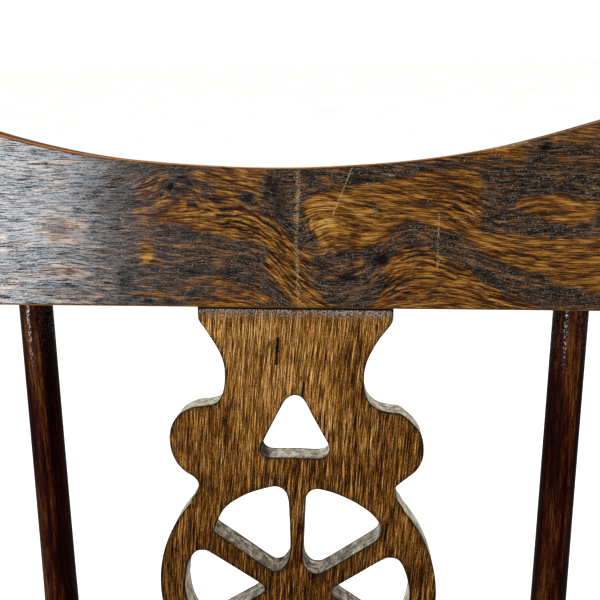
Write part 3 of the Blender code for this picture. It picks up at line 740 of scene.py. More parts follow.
# The leg's outline: shares of its length below the seat and of its full radius
LEG_SHARES = [
    (0.000, 0.66), (0.030, 0.74), (0.110, 0.90), (0.210, 0.99), (0.280, 1.00), (0.400, 1.00),
    (0.436, 0.93), (0.456, 0.82), (0.459, 0.82), (0.462, 0.89), (0.470, 0.955), (0.486, 0.985),
    (0.502, 0.955), (0.510, 0.89), (0.513, 0.82), (0.516, 0.82), (0.540, 0.88), (0.620, 0.95),
    (0.730, 0.93), (0.850, 0.84), (0.930, 0.76),
]

# How much varnish is left at each height over the foot
LEG_VARNISH = ([0, 0.2, 0.4], [0.05, 0.22, 0.35])


def stretcher_joint(row, side):
    """Where the axis of a leg is at the height of the side stretchers."""
    foot, head = LEG_ENDS[row]
    return (foot + (head - foot) * STRETCHER_HEIGHT / SEAT_TOP) * [side, 1, 1]


def level_off(spots, rows, height, along):
    """Slide these rows of places along the axis until they lie at this height."""
    spots[rows] += along * ((height - spots[rows, 2]) / along[2])[:, None]


def kerf(head, along, width, thick, depth):
    """The slot for a wedge: open at the head of a tenon, and narrower below."""
    length = depth + JOINT_GAP + OVERRUN
    middle = head + along[2] * (OVERRUN - length / 2)
    slope = (1 - WEDGE_TIP_SHARE) / depth
    centre_share = 1 - slope * (length / 2 - OVERRUN)
    return block((thick * centre_share, width, length), middle, along, slope / centre_share)


def keep_turned_grain(made, start, along, front, varnish):
    """The grain of a turned piece: along its axis, and the two ways across it. Also how far each place
    faces the front, which the material paints lighter, partly as wear from use and partly as painted
    light, and how much varnish is left at its height."""
    local = (places(made) - start) @ along.T
    radius = np.linalg.norm(local[:, :2], axis=1)
    facing = (local[:, :2] @ (along[:2] @ np.array(front, float))) / np.maximum(radius, MM)
    keep(made, "grain", local[:, [2, 0, 1]])
    keep(made, "facing", facing)
    keep(made, "varnish", np.interp(local[:, 2], *varnish))


def dark_turning():
    """Mahogany-brown stain under old varnish: black-brown at the back and sides, golden brown along
    the front, partly rubbed there by hands and partly painted light on the lit side, with long faint
    streaks, tool rings and pebbled varnish."""
    made, tree, shader = finish("dark_turning")
    facing, varnish = stored(tree, "facing", "varnish")
    grain = stored(tree, "grain", out="Vector")[0]
    broad = streaks(tree, grain, 70.0, 4.0, 2.3)
    fine = streaks(tree, grain, 9.0, 0.55, 6.1)
    pebbled = streaks(tree, grain, 0.8, 0.7, 4.7)
    # Painted light, partly wear: the side that faces the given front is lighter, where the lamps fall and
    # hands rub
    rubbed_and_lit = fade(tree, weighted(tree, facing, (0.75, broad), (0.30, fine)), 0.62, 1.22)
    tone = reckon(tree, "MULTIPLY_ADD", rubbed_and_lit, 0.30, 0.22)
    level = weighted(tree, tone, (0.22, broad), (0.28, fine), (0.14, pebbled))
    colour = ramp(tree, level, [
        (0.00, srgb(3, 1, 1)), (0.22, srgb(19, 3, 2)), (0.42, srgb(42, 11, 3)), (0.65, srgb(74, 42, 11)),
        (1.00, srgb(106, 74, 30)),
    ])
    rings = streaks(tree, combine(tree, "MULTIPLY", grain, (1, 0.02, 0.02)), 0.9, 0.7, 1.3)
    relief = weighted(tree, 0.5, (0.3, rings), (0.5, fine), (0.9, pebbled))
    feed(tree, shader, {
        "Base Color": colour, "Roughness": weighted(tree, 0.42, (0.14, fine), (0.16, pebbled)),
        "Coat Weight": times(tree, varnish, fade(tree, pebbled, 0.52, 0.92)), "Coat Roughness": 0.13,
        "Specular IOR Level": 0.01, "Normal": bump(tree, relief, 0.55, 0.16),
    })
    return made


DARK_TURNING = dark_turning()
leg_body_share = (SEAT_TOP - SEAT_THICKNESS) / SEAT_TOP
for row, ends in LEG_ENDS.items():
    for side, hand in ((-1, "left"), (1, "right")):
        foot, head = (end * [side, 1, 1] for end in ends)
        along = axes_along(head - foot)
        length = np.linalg.norm(head - foot)
        body = length * leg_body_share
        bulge = through([(LEG_RADIUS * radius, body * rise) for rise, radius in LEG_SHARES], steps=6)
        low_radius = bulge[0, 0]
        bulge = bulge[bulge[:, 1] > low_radius * FOOT_TILT_SHARE]
        profile = [(0, 0), (low_radius - FOOT_EASE, 0), (low_radius, FOOT_EASE)]
        profile += bulge.tolist()
        profile += [(LEG_TENON_RADIUS, body - LEG_TENON_RADIUS / 2), (LEG_TENON_RADIUS, length), (0, length)]
        spots, faces = lathe(profile, TURNED_STEPS)
        spots = foot + spots @ along

        # The rings are numbered from the foot up, with the poles of the foot and of the head after them
        last_ring = (len(profile) - 3) * TURNED_STEPS
        poles = last_ring + TURNED_STEPS
        level_off(spots, np.r_[0:TURNED_STEPS, poles], 0, along[2])
        level_off(spots, np.r_[TURNED_STEPS:2 * TURNED_STEPS], FOOT_EASE, along[2])
        level_off(spots, np.r_[last_ring:poles, poles + 1], SEAT_TOP, along[2])
        leg = build(f"turned_{row}_{hand}_leg", spots, faces)
        joint = stretcher_joint(row, side)
        reach = stretcher_joint("rear" if row == "front" else "front", side) - joint
        towards = reach / np.linalg.norm(reach)
        cut(leg, [
            kerf(head, along, 4 * LEG_TENON_RADIUS, LEG_WEDGE_HEAD + 2 * JOINT_GAP, LEG_WEDGE_DEPTH),
            rod(STRETCHER_TENON_RADIUS + JOINT_GAP, joint - towards * (STRETCHER_PAST_AXIS + JOINT_GAP),
                joint + towards * 3 * LEG_RADIUS),
        ])
        smooth(leg)
        keep_turned_grain(leg, foot, along, (0, -1, 0), LEG_VARNISH)
        dress(leg, DARK_TURNING)
        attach(leg, "root")
        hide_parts(f"{row}_{hand}_leg")

# Three stretchers brace the legs in the shape of an H. Each swells in the middle and is driven into
# blind sockets: one at each side between two legs, and one across between those two.

STRETCHER_RADIUS = 13.5 * MM
CROSS_RADIUS = 13 * MM
CROSS_TENON_RADIUS = 6.5 * MM
CROSS_PAST_AXIS = 2 * MM
STRETCHER_STEPS = 40
TENON_EASE = 0.5 * MM
GLOSSY_END = 50 * MM
STRETCHER_SHARES = [
    (0.00, 0.00), (0.08, 0.08), (0.16, 0.28), (0.28, 0.66), (0.39, 0.91), (0.45, 1.00),
    (0.55, 1.00), (0.61, 0.91), (0.72, 0.66), (0.84, 0.28), (0.92, 0.08), (1.00, 0.00),
]


def stretcher(name, start, end, radius, tenon, past, host):
    """A turned stretcher between two axes. Its blind tenons reach past the axes, and its swell starts
    where it leaves the host, which is the turned piece of that radius round each axis."""
    direction = (end - start) / np.linalg.norm(end - start)
    first = start - direction * past
    length = np.linalg.norm(end - start) + 2 * past
    shown = past + host + JOINT_GAP
    swell = through([(tenon + (radius - tenon) * share, shown + (length - 2 * shown) * rise)
                     for rise, share in STRETCHER_SHARES], steps=6)
    profile = [(0, 0), (tenon - TENON_EASE, 0), (tenon, TENON_EASE), *swell.tolist(),
               (tenon, length - TENON_EASE), (tenon - TENON_EASE, length), (0, length)]
    spots, faces = lathe(profile, STRETCHER_STEPS)
    along = axes_along(direction)
    made = build(name, first + spots @ along, faces)
    varnish = ([0, GLOSSY_END, length - GLOSSY_END, length], [0.35, 0.1, 0.1, 0.35])
    keep_turned_grain(made, first, along, (0, -0.6, 0.8), varnish)
    smooth(made)
    return made


middles = {}
for side, hand in ((-1, "left"), (1, "right")):
    start, end = stretcher_joint("front", side), stretcher_joint("rear", side)
    middles[hand] = (start + end) / 2
    brace = stretcher(
        f"turned_{hand}_side_stretcher", start, end, STRETCHER_RADIUS, STRETCHER_TENON_RADIUS,
        STRETCHER_PAST_AXIS, LEG_RADIUS,
    )
    dress(brace, DARK_TURNING)
    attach(brace, "root")
    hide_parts(f"{hand}_side_stretcher")
cross = stretcher(
    "turned_cross_stretcher", middles["left"], middles["right"], CROSS_RADIUS, CROSS_TENON_RADIUS,
    CROSS_PAST_AXIS, STRETCHER_RADIUS,
)
dress(cross, DARK_TURNING)
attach(cross, "root")
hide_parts("cross_stretcher")

# Two plain sticks of the back taper up to the crest rail. They are driven through the seat, spread
# there from below with wedges, and end in blind holes in the rail.

STICK_TOP_RADIUS = 8 * MM
STICK_SWELL_RADIUS = 9.2 * MM
STICK_CREST_TENON_RADIUS = 6.2 * MM
STICK_CREST_TENON_LENGTH = 30 * MM
STICK_WEDGE_HEAD = 2.4 * MM
STICK_WEDGE_DEPTH = 18 * MM
STICK_SHARES = [
    (0.05, 0.02), (0.10, 0.35), (0.22, 0.90), (0.34, 1.00), (0.50, 0.52), (0.75, 0.20), (1.0, 0.0),
]

# The varnish is rubbed off by hands, but it stays glossy right under the rail
STICK_VARNISH = (
    [0, 0.1, BACK_RISE - 0.05, BACK_RISE - 0.033, BACK_RISE - 0.022, BACK_RISE - 0.008],
    [0.2, 0.05, 0.01, 0.06, 0.45, 0.85],
)

for side, hand in ((-1, "left"), (1, "right")):
    middle = back_foot + [side * STICK_X, 0, 0]
    along = axes_along(back_axes[1])
    below = -SEAT_THICKNESS / math.cos(BACK_LEAN)
    taper = through([
        (STICK_TOP_RADIUS + (STICK_SWELL_RADIUS - STICK_TOP_RADIUS) * share, (BACK_RISE - JOINT_GAP) * rise)
        for rise, share in STICK_SHARES
    ], steps=8)
    tip = BACK_RISE + STICK_CREST_TENON_LENGTH
    profile = [(0, below), (STICK_SEAT_TENON_RADIUS, below)]
    profile += [(STICK_SEAT_TENON_RADIUS, STICK_SEAT_TENON_RADIUS), *taper.tolist()]
    profile += [(STICK_CREST_TENON_RADIUS, BACK_RISE - JOINT_GAP), (STICK_CREST_TENON_RADIUS, tip), (0, tip)]
    spots, faces = lathe(profile, TURNED_STEPS)
    spots = middle + spots @ along
    lowest = np.r_[0:TURNED_STEPS, (len(profile) - 2) * TURNED_STEPS]
    level_off(spots, lowest, SEAT_TOP - SEAT_THICKNESS, along[2])
    stick = build(f"turned_{hand}_back_stick", spots, faces)
    downwards = along * np.array([[1], [-1], [-1]])
    cut(stick, [kerf(
        middle + along[2] * below, downwards, 4 * STICK_SEAT_TENON_RADIUS,
        STICK_WEDGE_HEAD + 2 * JOINT_GAP, STICK_WEDGE_DEPTH,
    )])
    smooth(stick)
    keep_turned_grain(stick, middle, along, (0, -1, 0), STICK_VARNISH)
    dress(stick, DARK_TURNING)
    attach(stick, "root")
    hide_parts(f"{hand}_back_stick")

# The splat is a half-inch elm board, fretsawn as a spinning wheel with six spokes, a triangle and
# two lobes above it and the same below. Its face is stained, and the sawn edges were left dry and grey.

HUB_RISE = BACK_RISE / 2
WHEEL_RADIUS = 73.1
WHEEL_NOTCH_X = 55.5
SPLAT_RIM_STEP = 1 * MM
SPLAT_LATTICE = 2 * MM
FOOT_LEVELLING = 6 * MM
TENON_ROOT = 17.5 * MM

# Half outlines about the hub in millimetres, as the fretsaw left them, from the top to the wheel
LEFT_EDGE = [
    (-47.3, HUB_RISE / MM), (-47.3, 149.6), (-46.9, 146.2), (-44.3, 142.3), (-40.2, 135.8),
    (-36.8, 129.3), (-35.1, 123.3), (-34.9, 117.8), (-35.3, 112.8), (-36.3, 108.8), (-38.0, 105.3),
    (-40.3, 103.2), (-45.0, 102.0), (-50.0, 101.4), (-54.5, 99.9), (-58.5, 97.4), (-61.5, 94.0),
    (-63.5, 89.7), (-64.4, 84.7), (-64.2, 79.7), (-63.0, 74.7), (-60.5, 69.7), (-56.5, 65.7),
    (-52.9, 63.4), (-50.8, 60.9), (-50.3, 57.9), (-51.6, 54.4), (-54.2, 50.6),
]
RIGHT_EDGE = [
    (47.7, HUB_RISE / MM), (47.8, 149.8), (47.4, 146.4), (45.3, 143.2), (41.5, 138.2), (38.3, 132.7),
    (36.0, 127.7), (34.6, 122.7), (34.2, 117.7), (34.5, 112.7), (35.4, 108.7), (37.1, 105.6),
    (39.7, 103.2), (43.5, 101.4), (48.0, 100.5), (52.0, 100.0), (55.5, 97.8), (59.6, 93.9),
    (62.4, 90.1), (63.8, 86.2), (64.3, 81.2), (64.1, 77.2), (62.8, 73.2), (60.5, 69.7),
    (56.7, 66.2), (51.1, 61.3), (51.1, 61.3), (51.0, 57.5), (52.0, 53.6), (54.6, 49.6),
]
UPPER_LEFT_WINDOW = [
    (-2.9, 31.0), (-3.4, 48.0), (-4.0, 53.5), (-5.6, 57.0), (-8.4, 58.9), (-12.4, 58.9), (-23.4, 55.3),
    (-32.1, 50.3), (-36.9, 46.0), (-38.9, 42.8), (-41.2, 38.3), (-43.0, 32.6), (-43.0, 32.6),
    (-41.6, 31.2), (-28.0, 21.6), (-14.6, 12.0), (-10.8, 10.8), (-7.2, 12.4), (-4.3, 17.0), (-3.1, 22.5),
]
UPPER_RIGHT_WINDOW = [
    (3.9, 29.0), (3.6, 20.5), (4.3, 15.2), (7.2, 11.2), (10.9, 10.2), (14.8, 11.6), (27.0, 20.0),
    (40.0, 29.4), (42.9, 32.6), (43.8, 36.6), (42.9, 40.6), (39.6, 45.0), (35.2, 48.7), (29.0, 52.5),
    (21.0, 56.1), (14.0, 58.1), (10.2, 58.3), (7.4, 56.9), (5.6, 53.9), (4.8, 49.0),
]
LEFT_WINDOW_TOP = [
    (-59.8, 1.0), (-59.0, 8.0), (-57.4, 14.0), (-55.0, 18.4), (-52.4, 20.9), (-49.0, 21.5), (-45.9, 20.6),
    (-32.0, 11.8), (-19.4, 3.6), (-17.1, 1.6),
]
RIGHT_WINDOW_TOP = [
    (18.9, 1.2), (19.8, 2.5), (30.0, 9.6), (45.0, 19.9), (49.5, 21.2), (52.8, 20.3), (55.3, 17.2),
    (57.6, 11.0), (59.3, 3.0),
]
TRIANGLE = [
    (0.3, 108.6), (-2.6, 107.7), (-5.2, 105.2), (-8.0, 100.0), (-12.4, 91.4), (-15.6, 84.8),
    (-17.4, 80.4), (-17.2, 77.4), (-14.6, 75.3), (-10.0, 74.9), (0.0, 75.2), (10.0, 75.0), (14.6, 75.9),
    (17.0, 78.6), (17.1, 82.2), (14.4, 87.6), (9.6, 96.6), (5.6, 104.6), (3.2, 107.6),
]


def turned_over(points):
    """A row of points turned over about the hub's height, going back."""
    return [(x, -y) for x, y in reversed(points)]


def board_side(edge, first, last):
    """One side of the splat from top to bottom: its edge, the wheel's circle beside the hub from the first
    angle to the last, and the edge turned over."""
    upper = through(edge).tolist()
    rim = arc((0, 0), WHEEL_RADIUS, first, last, steps=60).tolist()
    return upper + rim + turned_over(upper)


notch = math.acos(WHEEL_NOTCH_X / WHEEL_RADIUS)
left_side = board_side(LEFT_EDGE, math.pi - notch, math.pi + notch)
right_side = board_side(RIGHT_EDGE, notch, -notch)
outer = np.array(left_side + right_side[::-1]) * MM
openings = [UPPER_LEFT_WINDOW, UPPER_RIGHT_WINDOW, TRIANGLE]
openings += [[(x, -y) for x, y in opening] for opening in openings]
openings += [top + turned_over(top) for top in (LEFT_WINDOW_TOP, RIGHT_WINDOW_TOP)]


def clockwise(outline):
    """The outline with the wood to its left, as a hole has."""
    x, y = outline.T
    area = (x * np.roll(y, -1) - y * np.roll(x, -1)).sum()
    return outline if area < 0 else outline[::-1]


holes = [clockwise(evenly(through(opening, closed=True) * MM, SPLAT_RIM_STEP)) for opening in openings]
SAW_EASE = 0.22 * MM
splat_edge = both_sides([
    (2.5 * SAW_EASE, 0, 0.2), (1.9 * SAW_EASE, 0, 1.0), (0.25 * SAW_EASE, -0.25 * SAW_EASE, 1.0),
    (0, -SAW_EASE, 1.0), (0, -4 * SAW_EASE, 1.0), (0, -6 * SAW_EASE, 0.0),
    (0, -0.33 * SPLAT_THICKNESS, 0.0),
], SPLAT_THICKNESS)
splat = board("wheel_splat", [evenly(outer, SPLAT_RIM_STEP), *holes], splat_edge, SPLAT_LATTICE)

# The foot is sawn level to stand on the seat, and a thinner tenon is left at each end
spots = places(splat)
rise = spots[:, 1] + HUB_RISE
middle_depth = -spots[:, 2] - SPLAT_THICKNESS / 2
lifted = math.tan(BACK_LEAN) * middle_depth + JOINT_GAP
spots[:, 1] += np.clip(1 - rise / FOOT_LEVELLING, 0, 1) * lifted
move(splat, spots)
tenon_middle = HUB_RISE + (SPLAT_TENON[1] - TENON_ROOT) / 2
cut(splat, [
    block(SPLAT_TENON + [0, TENON_ROOT, 0], (0, end * tenon_middle, -SPLAT_THICKNESS / 2))
    for end in (-1, 1)
], "UNION")
smooth(splat, 30)

# The figure in millimetres from the hub: the lines run up the board and lean a little. Patches make the
# face pale or dark, and darken parts of the sawn walls, partly as grime and partly as painted shade
# inside the openings, both alike above and below the hub.
spots = places(splat)
u, v = spots[:, 0] / MM, spots[:, 1] / MM
GRAIN_SLANT = 0.075
SPLAT_HILLS = [
    (-30, 20, 30, 70, 0, 2.0), (25, -60, 40, 60, 0, -2.5), (10, 110, 30, 50, 0, 1.4),
    (-60, 70, 20, 30, 0, -1.5),
]
SPLAT_PATCHES = [
    (-5, 145, 70, 34, 0, 0.66), (0, 118, 34, 26, 0, 0.60), (-55, 80, 14, 20, 0, 0.46),
    (55, 78, 14, 20, 0, 0.42), (0, 60, 60, 16, 0, 0.42), (0, 0, 90, 42, 0, 0.34), (0, 4, 16, 12, 0, 0.34),
    (30, 120, 10, 22, 0, 0.44), (-24, 100, 6, 30, 0, 0.60), (0, 153, 70, 8, 0, 0.53),
]
# Darker sawn walls: partly grime, partly painted shade in the openings, deepest in a lower corner of each
# triangle
SPLAT_WALL_SHADE_AND_GRIME = [
    (0, 30, 58, 34, 0, 1.0), (34, 30, 16, 12, 30, 0.75), (-16, 76, 5, 6, 0, 0.95),
    (2, 76, 13, 4, 0, 0.50), (-55, 100, 14, 8, 0, 0.20), (50, 98, 16, 8, 0, 0.42),
    (-17.5, 78, 3.5, 5, 0, 1.75), (60, 60, 10, 14, 0, 0.35), (-32, 36, 8, 6, -30, 0.95),
    (0, 14, 16, 12, 0, 0.95), (68, 40, 12, 22, 0, 0.45), (-68, 40, 12, 22, 0, 0.5),
    (38, 112, 6, 10, 0, 0.45),
]
lines = u - GRAIN_SLANT * v + hills(u, v, SPLAT_HILLS) + 0.6 * wander(u, v, 30, 1.2)
keep(splat, "grain", np.column_stack([spots[:, 1], lines * MM, spots[:, 2]]))
keep(splat, "board", spots)
keep(splat, "gold", patches(u, np.abs(v), 0.47, SPLAT_PATCHES))
keep(splat, "wall_shade_and_grime", patches(u, np.abs(v), 0.16, SPLAT_WALL_SHADE_AND_GRIME))

# The sawn walls are the faces whose normal points well aside
WALL_NORMAL_Z = 0.6
normals = np.empty(3 * len(splat.data.polygons))
splat.data.polygons.foreach_get("normal", normals)
on_wall = np.abs(normals.reshape(-1, 3)[:, 2]) < WALL_NORMAL_Z
back_middle = back_foot + back_axes[1] * HUB_RISE + back_axes[2] * SPLAT_THICKNESS / 2
move(splat, back_middle + spots @ back_axes)

# Short splits along the grain: start, end and width
SPLAT_SLITS = [
    ((-8.1, 137.4), (-8.4, 131.2), 1.5), ((-8.6, 133), (-8.9, 124.6), 1.1), ((4.4, 115), (3.6, 108), 0.9),
]


def splat_elm():
    """Straight-grained elm: long narrow streaks of gold, tan and black-brown down the board, darker
    at the wheel, with dark lines where the face meets the saw cut."""
    made, tree, shader = finish("splat_elm")
    gold, arris = stored(tree, "gold", "arris")
    grain, place = stored(tree, "grain", "board", out="Vector")
    broad = streaks(tree, grain, 70.0, 2.6, 2.1)
    middle = streaks(tree, grain, 30.0, 0.80, 8.4)
    fine = streaks(tree, grain, 12.0, 0.40, 4.6)
    lines = fade(tree, streaks(tree, grain, 8.0, 0.42, 6.6), 0.58, 0.76)
    speckle = streaks(tree, place, 0.6, 0.9, 3.7)
    level = weighted(tree, gold, (0.24, broad), (0.42, middle), (0.80, fine), (0.28, speckle))
    colour = ramp(tree, level, [
        (0.00, srgb(8, 3, 2)), (0.22, srgb(32, 15, 4)), (0.40, srgb(68, 37, 10)),
        (0.58, srgb(112, 70, 24)), (0.78, srgb(154, 106, 48)), (1.00, srgb(196, 152, 98)),
    ])
    open_grain = mix(tree, times(tree, lines, 0.90), colour, srgb(20, 8, 3))

    # A painted pale sheen on the face just under the rail, and a black line at both ends of the face,
    # partly dirt in the joints and partly painted shadow of the rail
    rise = add(tree, "SeparateXYZ", {}, {0: place})[1]
    # Painted sheen: a pale grey-blue band with blotches along the top of the face, for the light it mirrors
    sheen_band = fade(tree, rise, HUB_RISE - 6.5 * MM, HUB_RISE - 3.0 * MM, 0.0, 0.62)
    blotches = fade(tree, streaks(tree, place, 12.0, 4.0, 9.3), 0.2, 0.7, 0.4, 1.0)
    sheen_colour = mix(tree, fade(tree, speckle, 0.40, 0.70), srgb(38, 34, 40), srgb(178, 168, 156))
    sheened = mix(tree, times(tree, sheen_band, blotches), open_grain, sheen_colour)
    # Painted shadow of the rail, black within 2 mm of the face's ends, standing also for dirt in the joints
    joint_shadow_and_dirt = fade(tree, reckon(tree, "ABSOLUTE", rise), HUB_RISE - 2.0 * MM, HUB_RISE - 1.6 * MM)
    shaded_joints = mix(tree, joint_shadow_and_dirt, sheened, srgb(10, 8, 8))

    # The dark line along the saw cut, and the splits
    soot = fade(tree, streaks(tree, place, 6.0, 6.0, 1.7), 0.25, 0.55, 0.45, 0.97)
    edged = mix(tree, times(tree, soot, fade(tree, arris, 0.0, 0.5)), shaded_joints, srgb(12, 8, 7))
    for start, end, width in SPLAT_SLITS:
        slit = scratch(tree, place, start, end, width, 0.05)
        edged = mix(tree, slit, edged, srgb(12, 10, 12))
    feed(tree, shader, {
        "Base Color": edged, "Roughness": weighted(tree, 0.50, (0.15, fine), (0.1, lines)),
        "Specular IOR Level": 0.01,
        "Normal": bump(tree, weighted(tree, 0.5, (0.5, fine), (-0.7, lines)), 0.5, 0.12),
    })
    return made


def sawn_elm():
    """The fretsawn edges: dry, grey-beige, with faint lines along the cut, and darker in places, partly from
    grime and partly from painted shade in the openings.
    """
    made, tree, shader = finish("sawn_elm")
    arris, wall_shade_and_grime = stored(tree, "arris", "wall_shade_and_grime")
    grain = stored(tree, "grain", out="Vector")[0]
    lines = streaks(tree, combine(tree, "MULTIPLY", grain, (0.05, 0.05, 1)), 1.0, 0.8, 3.3)
    mottled = streaks(tree, grain, 4.5, 3.5, 5.2)
    grit = streaks(tree, grain, 0.8, 0.7, 7.9)
    # Darker where the walls are grimy and where shade is painted in the openings
    tone = reckon(tree, "MULTIPLY_ADD", wall_shade_and_grime, -0.46, 0.80)
    level = weighted(tree, tone, (0.30, lines), (0.50, mottled), (0.42, grit))
    colour = ramp(tree, level, [
        (0.00, srgb(26, 22, 18)), (0.22, srgb(70, 61, 50)), (0.45, srgb(118, 108, 91)),
        (0.70, srgb(166, 159, 140)), (1.00, srgb(204, 199, 182)),
    ])
    edged = mix(tree, fade(tree, arris, 0.3, 0.9, 0.0, 0.9), colour, srgb(20, 17, 15))
    feed(tree, shader, {
        "Base Color": edged, "Roughness": 0.85, "Specular IOR Level": 0.2,
        "Normal": bump(tree, weighted(tree, 0.5, (0.6, lines), (0.5, grit)), 0.6, 0.15),
    })
    return made


dress(splat, splat_elm(), sawn_elm())
splat.data.polygons.foreach_set("material_index", on_wall.astype(np.int32))
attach(splat, "root")
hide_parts("back_splat")

# The crest rail is a flat elm board sawn straight below and hollowed above. Its wild figure is cut
# near a knot, its finish is dark stain and wax, and its arrises are rubbed to a thin orange line.

CREST_THICKNESS = 22 * MM
CREST_HALF_WIDTH = 180
CREST_LOWER_CORNER = 12
CREST_EAR_RADIUS = 16
CREST_LEFT_EAR = 95.0
CREST_RIGHT_EAR = 98.2
CREST_EASE = 0.9 * MM
CREST_BACK_ROUND = 5 * MM
CREST_EDGE_WEAR = 0.72
CREST_RIM_STEP = 1.2 * MM
CREST_LATTICE = 1.4 * MM

# The hollow of the upper edge in millimetres from the middle of the lower edge, right to left
CREST_HOLLOW = [
    (156, 90.9), (133.8, 84.5), (113.6, 78.9), (92.4, 74.0), (70.8, 70.4), (48.8, 67.9), (26.3, 66.4),
    (3.7, 65.6), (-19.2, 65.8), (-42.4, 66.9), (-65.8, 68.6), (-89.4, 71.2), (-112.9, 75.5),
    (-136.5, 81.3), (-156, 87.3),
]
PEG_RADIUS = 2.5 * MM
PEG_FRONT_COVER = 5.5 * MM
PEG_RISE = 15 * MM


def combed(u, v, strokes, spacing=6.0, reach=8.5):
    """What to add to v so that lines of equal v + sum run along every stroke (u, v, heading), and the
    sum rises to the left of it: a net of soft hills, exp(-r squared), whose rises are found by least
    squares, with as little bending from hill to hill as the strokes allow."""
    def hill(off):
        """How high a hill of height one is, so far off its middle."""
        return np.exp(-(off / reach) ** 2)

    at = np.array(strokes, float)
    net_u, net_v = (np.arange(line.min() - spacing, line.max() + 2 * spacing, spacing) for line in (u, v))
    off_u, off_v = at[:, [0]] - net_u, at[:, [1]] - net_v
    hill_u, hill_v = hill(off_u), hill(off_v)
    rise_u, rise_v = -2 * off_u / reach**2 * hill_u, -2 * off_v / reach**2 * hill_v
    over_u = (rise_u[:, :, None] * hill_v[:, None]).reshape(len(at), -1)
    over_v = (hill_u[:, :, None] * rise_v[:, None]).reshape(len(at), -1)
    c, s = np.cos(np.radians(at[:, 2:])), np.sin(np.radians(at[:, 2:]))
    bends_u = np.kron(np.diff(np.eye(len(net_u)), 2, axis=0), np.eye(len(net_v)))
    bends_v = np.kron(np.eye(len(net_u)), np.diff(np.eye(len(net_v)), 2, axis=0))
    steady, stiff, light = 0.35, 0.10, 0.002
    stiffness = np.vstack([stiff * bends_u, stiff * bends_v, light * np.eye(over_u.shape[1])])
    rows = np.vstack([c * over_u + s * over_v, steady * (c * over_v - s * over_u), stiffness])
    goal = np.concatenate([-s[:, 0], steady * (1 - c[:, 0]), np.zeros(len(stiffness))])
    rises = np.linalg.solve(rows.T @ rows, rows.T @ goal).reshape(len(net_u), len(net_v))
    return ((hill(u[:, None] - net_u) @ rises) * hill(v[:, None] - net_v)).sum(axis=1)


crest_corners = [
    (-CREST_HALF_WIDTH, 0, CREST_LOWER_CORNER), (CREST_HALF_WIDTH, 0, CREST_LOWER_CORNER),
    (CREST_HALF_WIDTH, CREST_RIGHT_EAR, CREST_EAR_RADIUS),
    *((x, y, 0) for x, y in through(CREST_HOLLOW)),
    (-CREST_HALF_WIDTH, CREST_LEFT_EAR, CREST_EAR_RADIUS),
]
crest_outline = evenly(rounded(crest_corners) * MM, CREST_RIM_STEP)

# A crisp arris in front and a round one behind
crest_edge = [
    (1.25 * CREST_EASE, 0, 0.0), (CREST_EASE, 0, 0.5), (0.3 * CREST_EASE, -0.3 * CREST_EASE, 1.0),
    (0, -CREST_EASE, 0.9), (0, -3 * CREST_EASE, CREST_EDGE_WEAR),
    (0, -0.4 * CREST_THICKNESS, CREST_EDGE_WEAR),
]
for a in quarter_turn:
    inset, rise = CREST_BACK_ROUND * (1 - math.cos(a)), CREST_BACK_ROUND * (1 - math.sin(a))
    crest_edge.append((inset, rise - CREST_THICKNESS, CREST_EDGE_WEAR - 0.3 * a))
crest = board("crest_board", [crest_outline], crest_edge, CREST_LATTICE)

# A mortise for the splat and a socket for each stick in the lower edge, and a peg hole behind each
half_deep = -CREST_THICKNESS / 2
cut(crest, [
    block(SPLAT_MORTISE, (0, SPLAT_MORTISE[1] / 2 - OVERRUN, half_deep)),
    *(rod(STICK_CREST_TENON_RADIUS + JOINT_GAP, (x, -OVERRUN, half_deep),
          (x, STICK_CREST_TENON_LENGTH + JOINT_GAP, half_deep)) for x in (-STICK_X, STICK_X)),
])
cut(crest, [
    rod(PEG_RADIUS + JOINT_GAP, (x, PEG_RISE, -CREST_THICKNESS - OVERRUN),
        (x, PEG_RISE, -PEG_FRONT_COVER + JOINT_GAP), steps=24)
    for x in (-STICK_X, STICK_X)
])
smooth(crest)
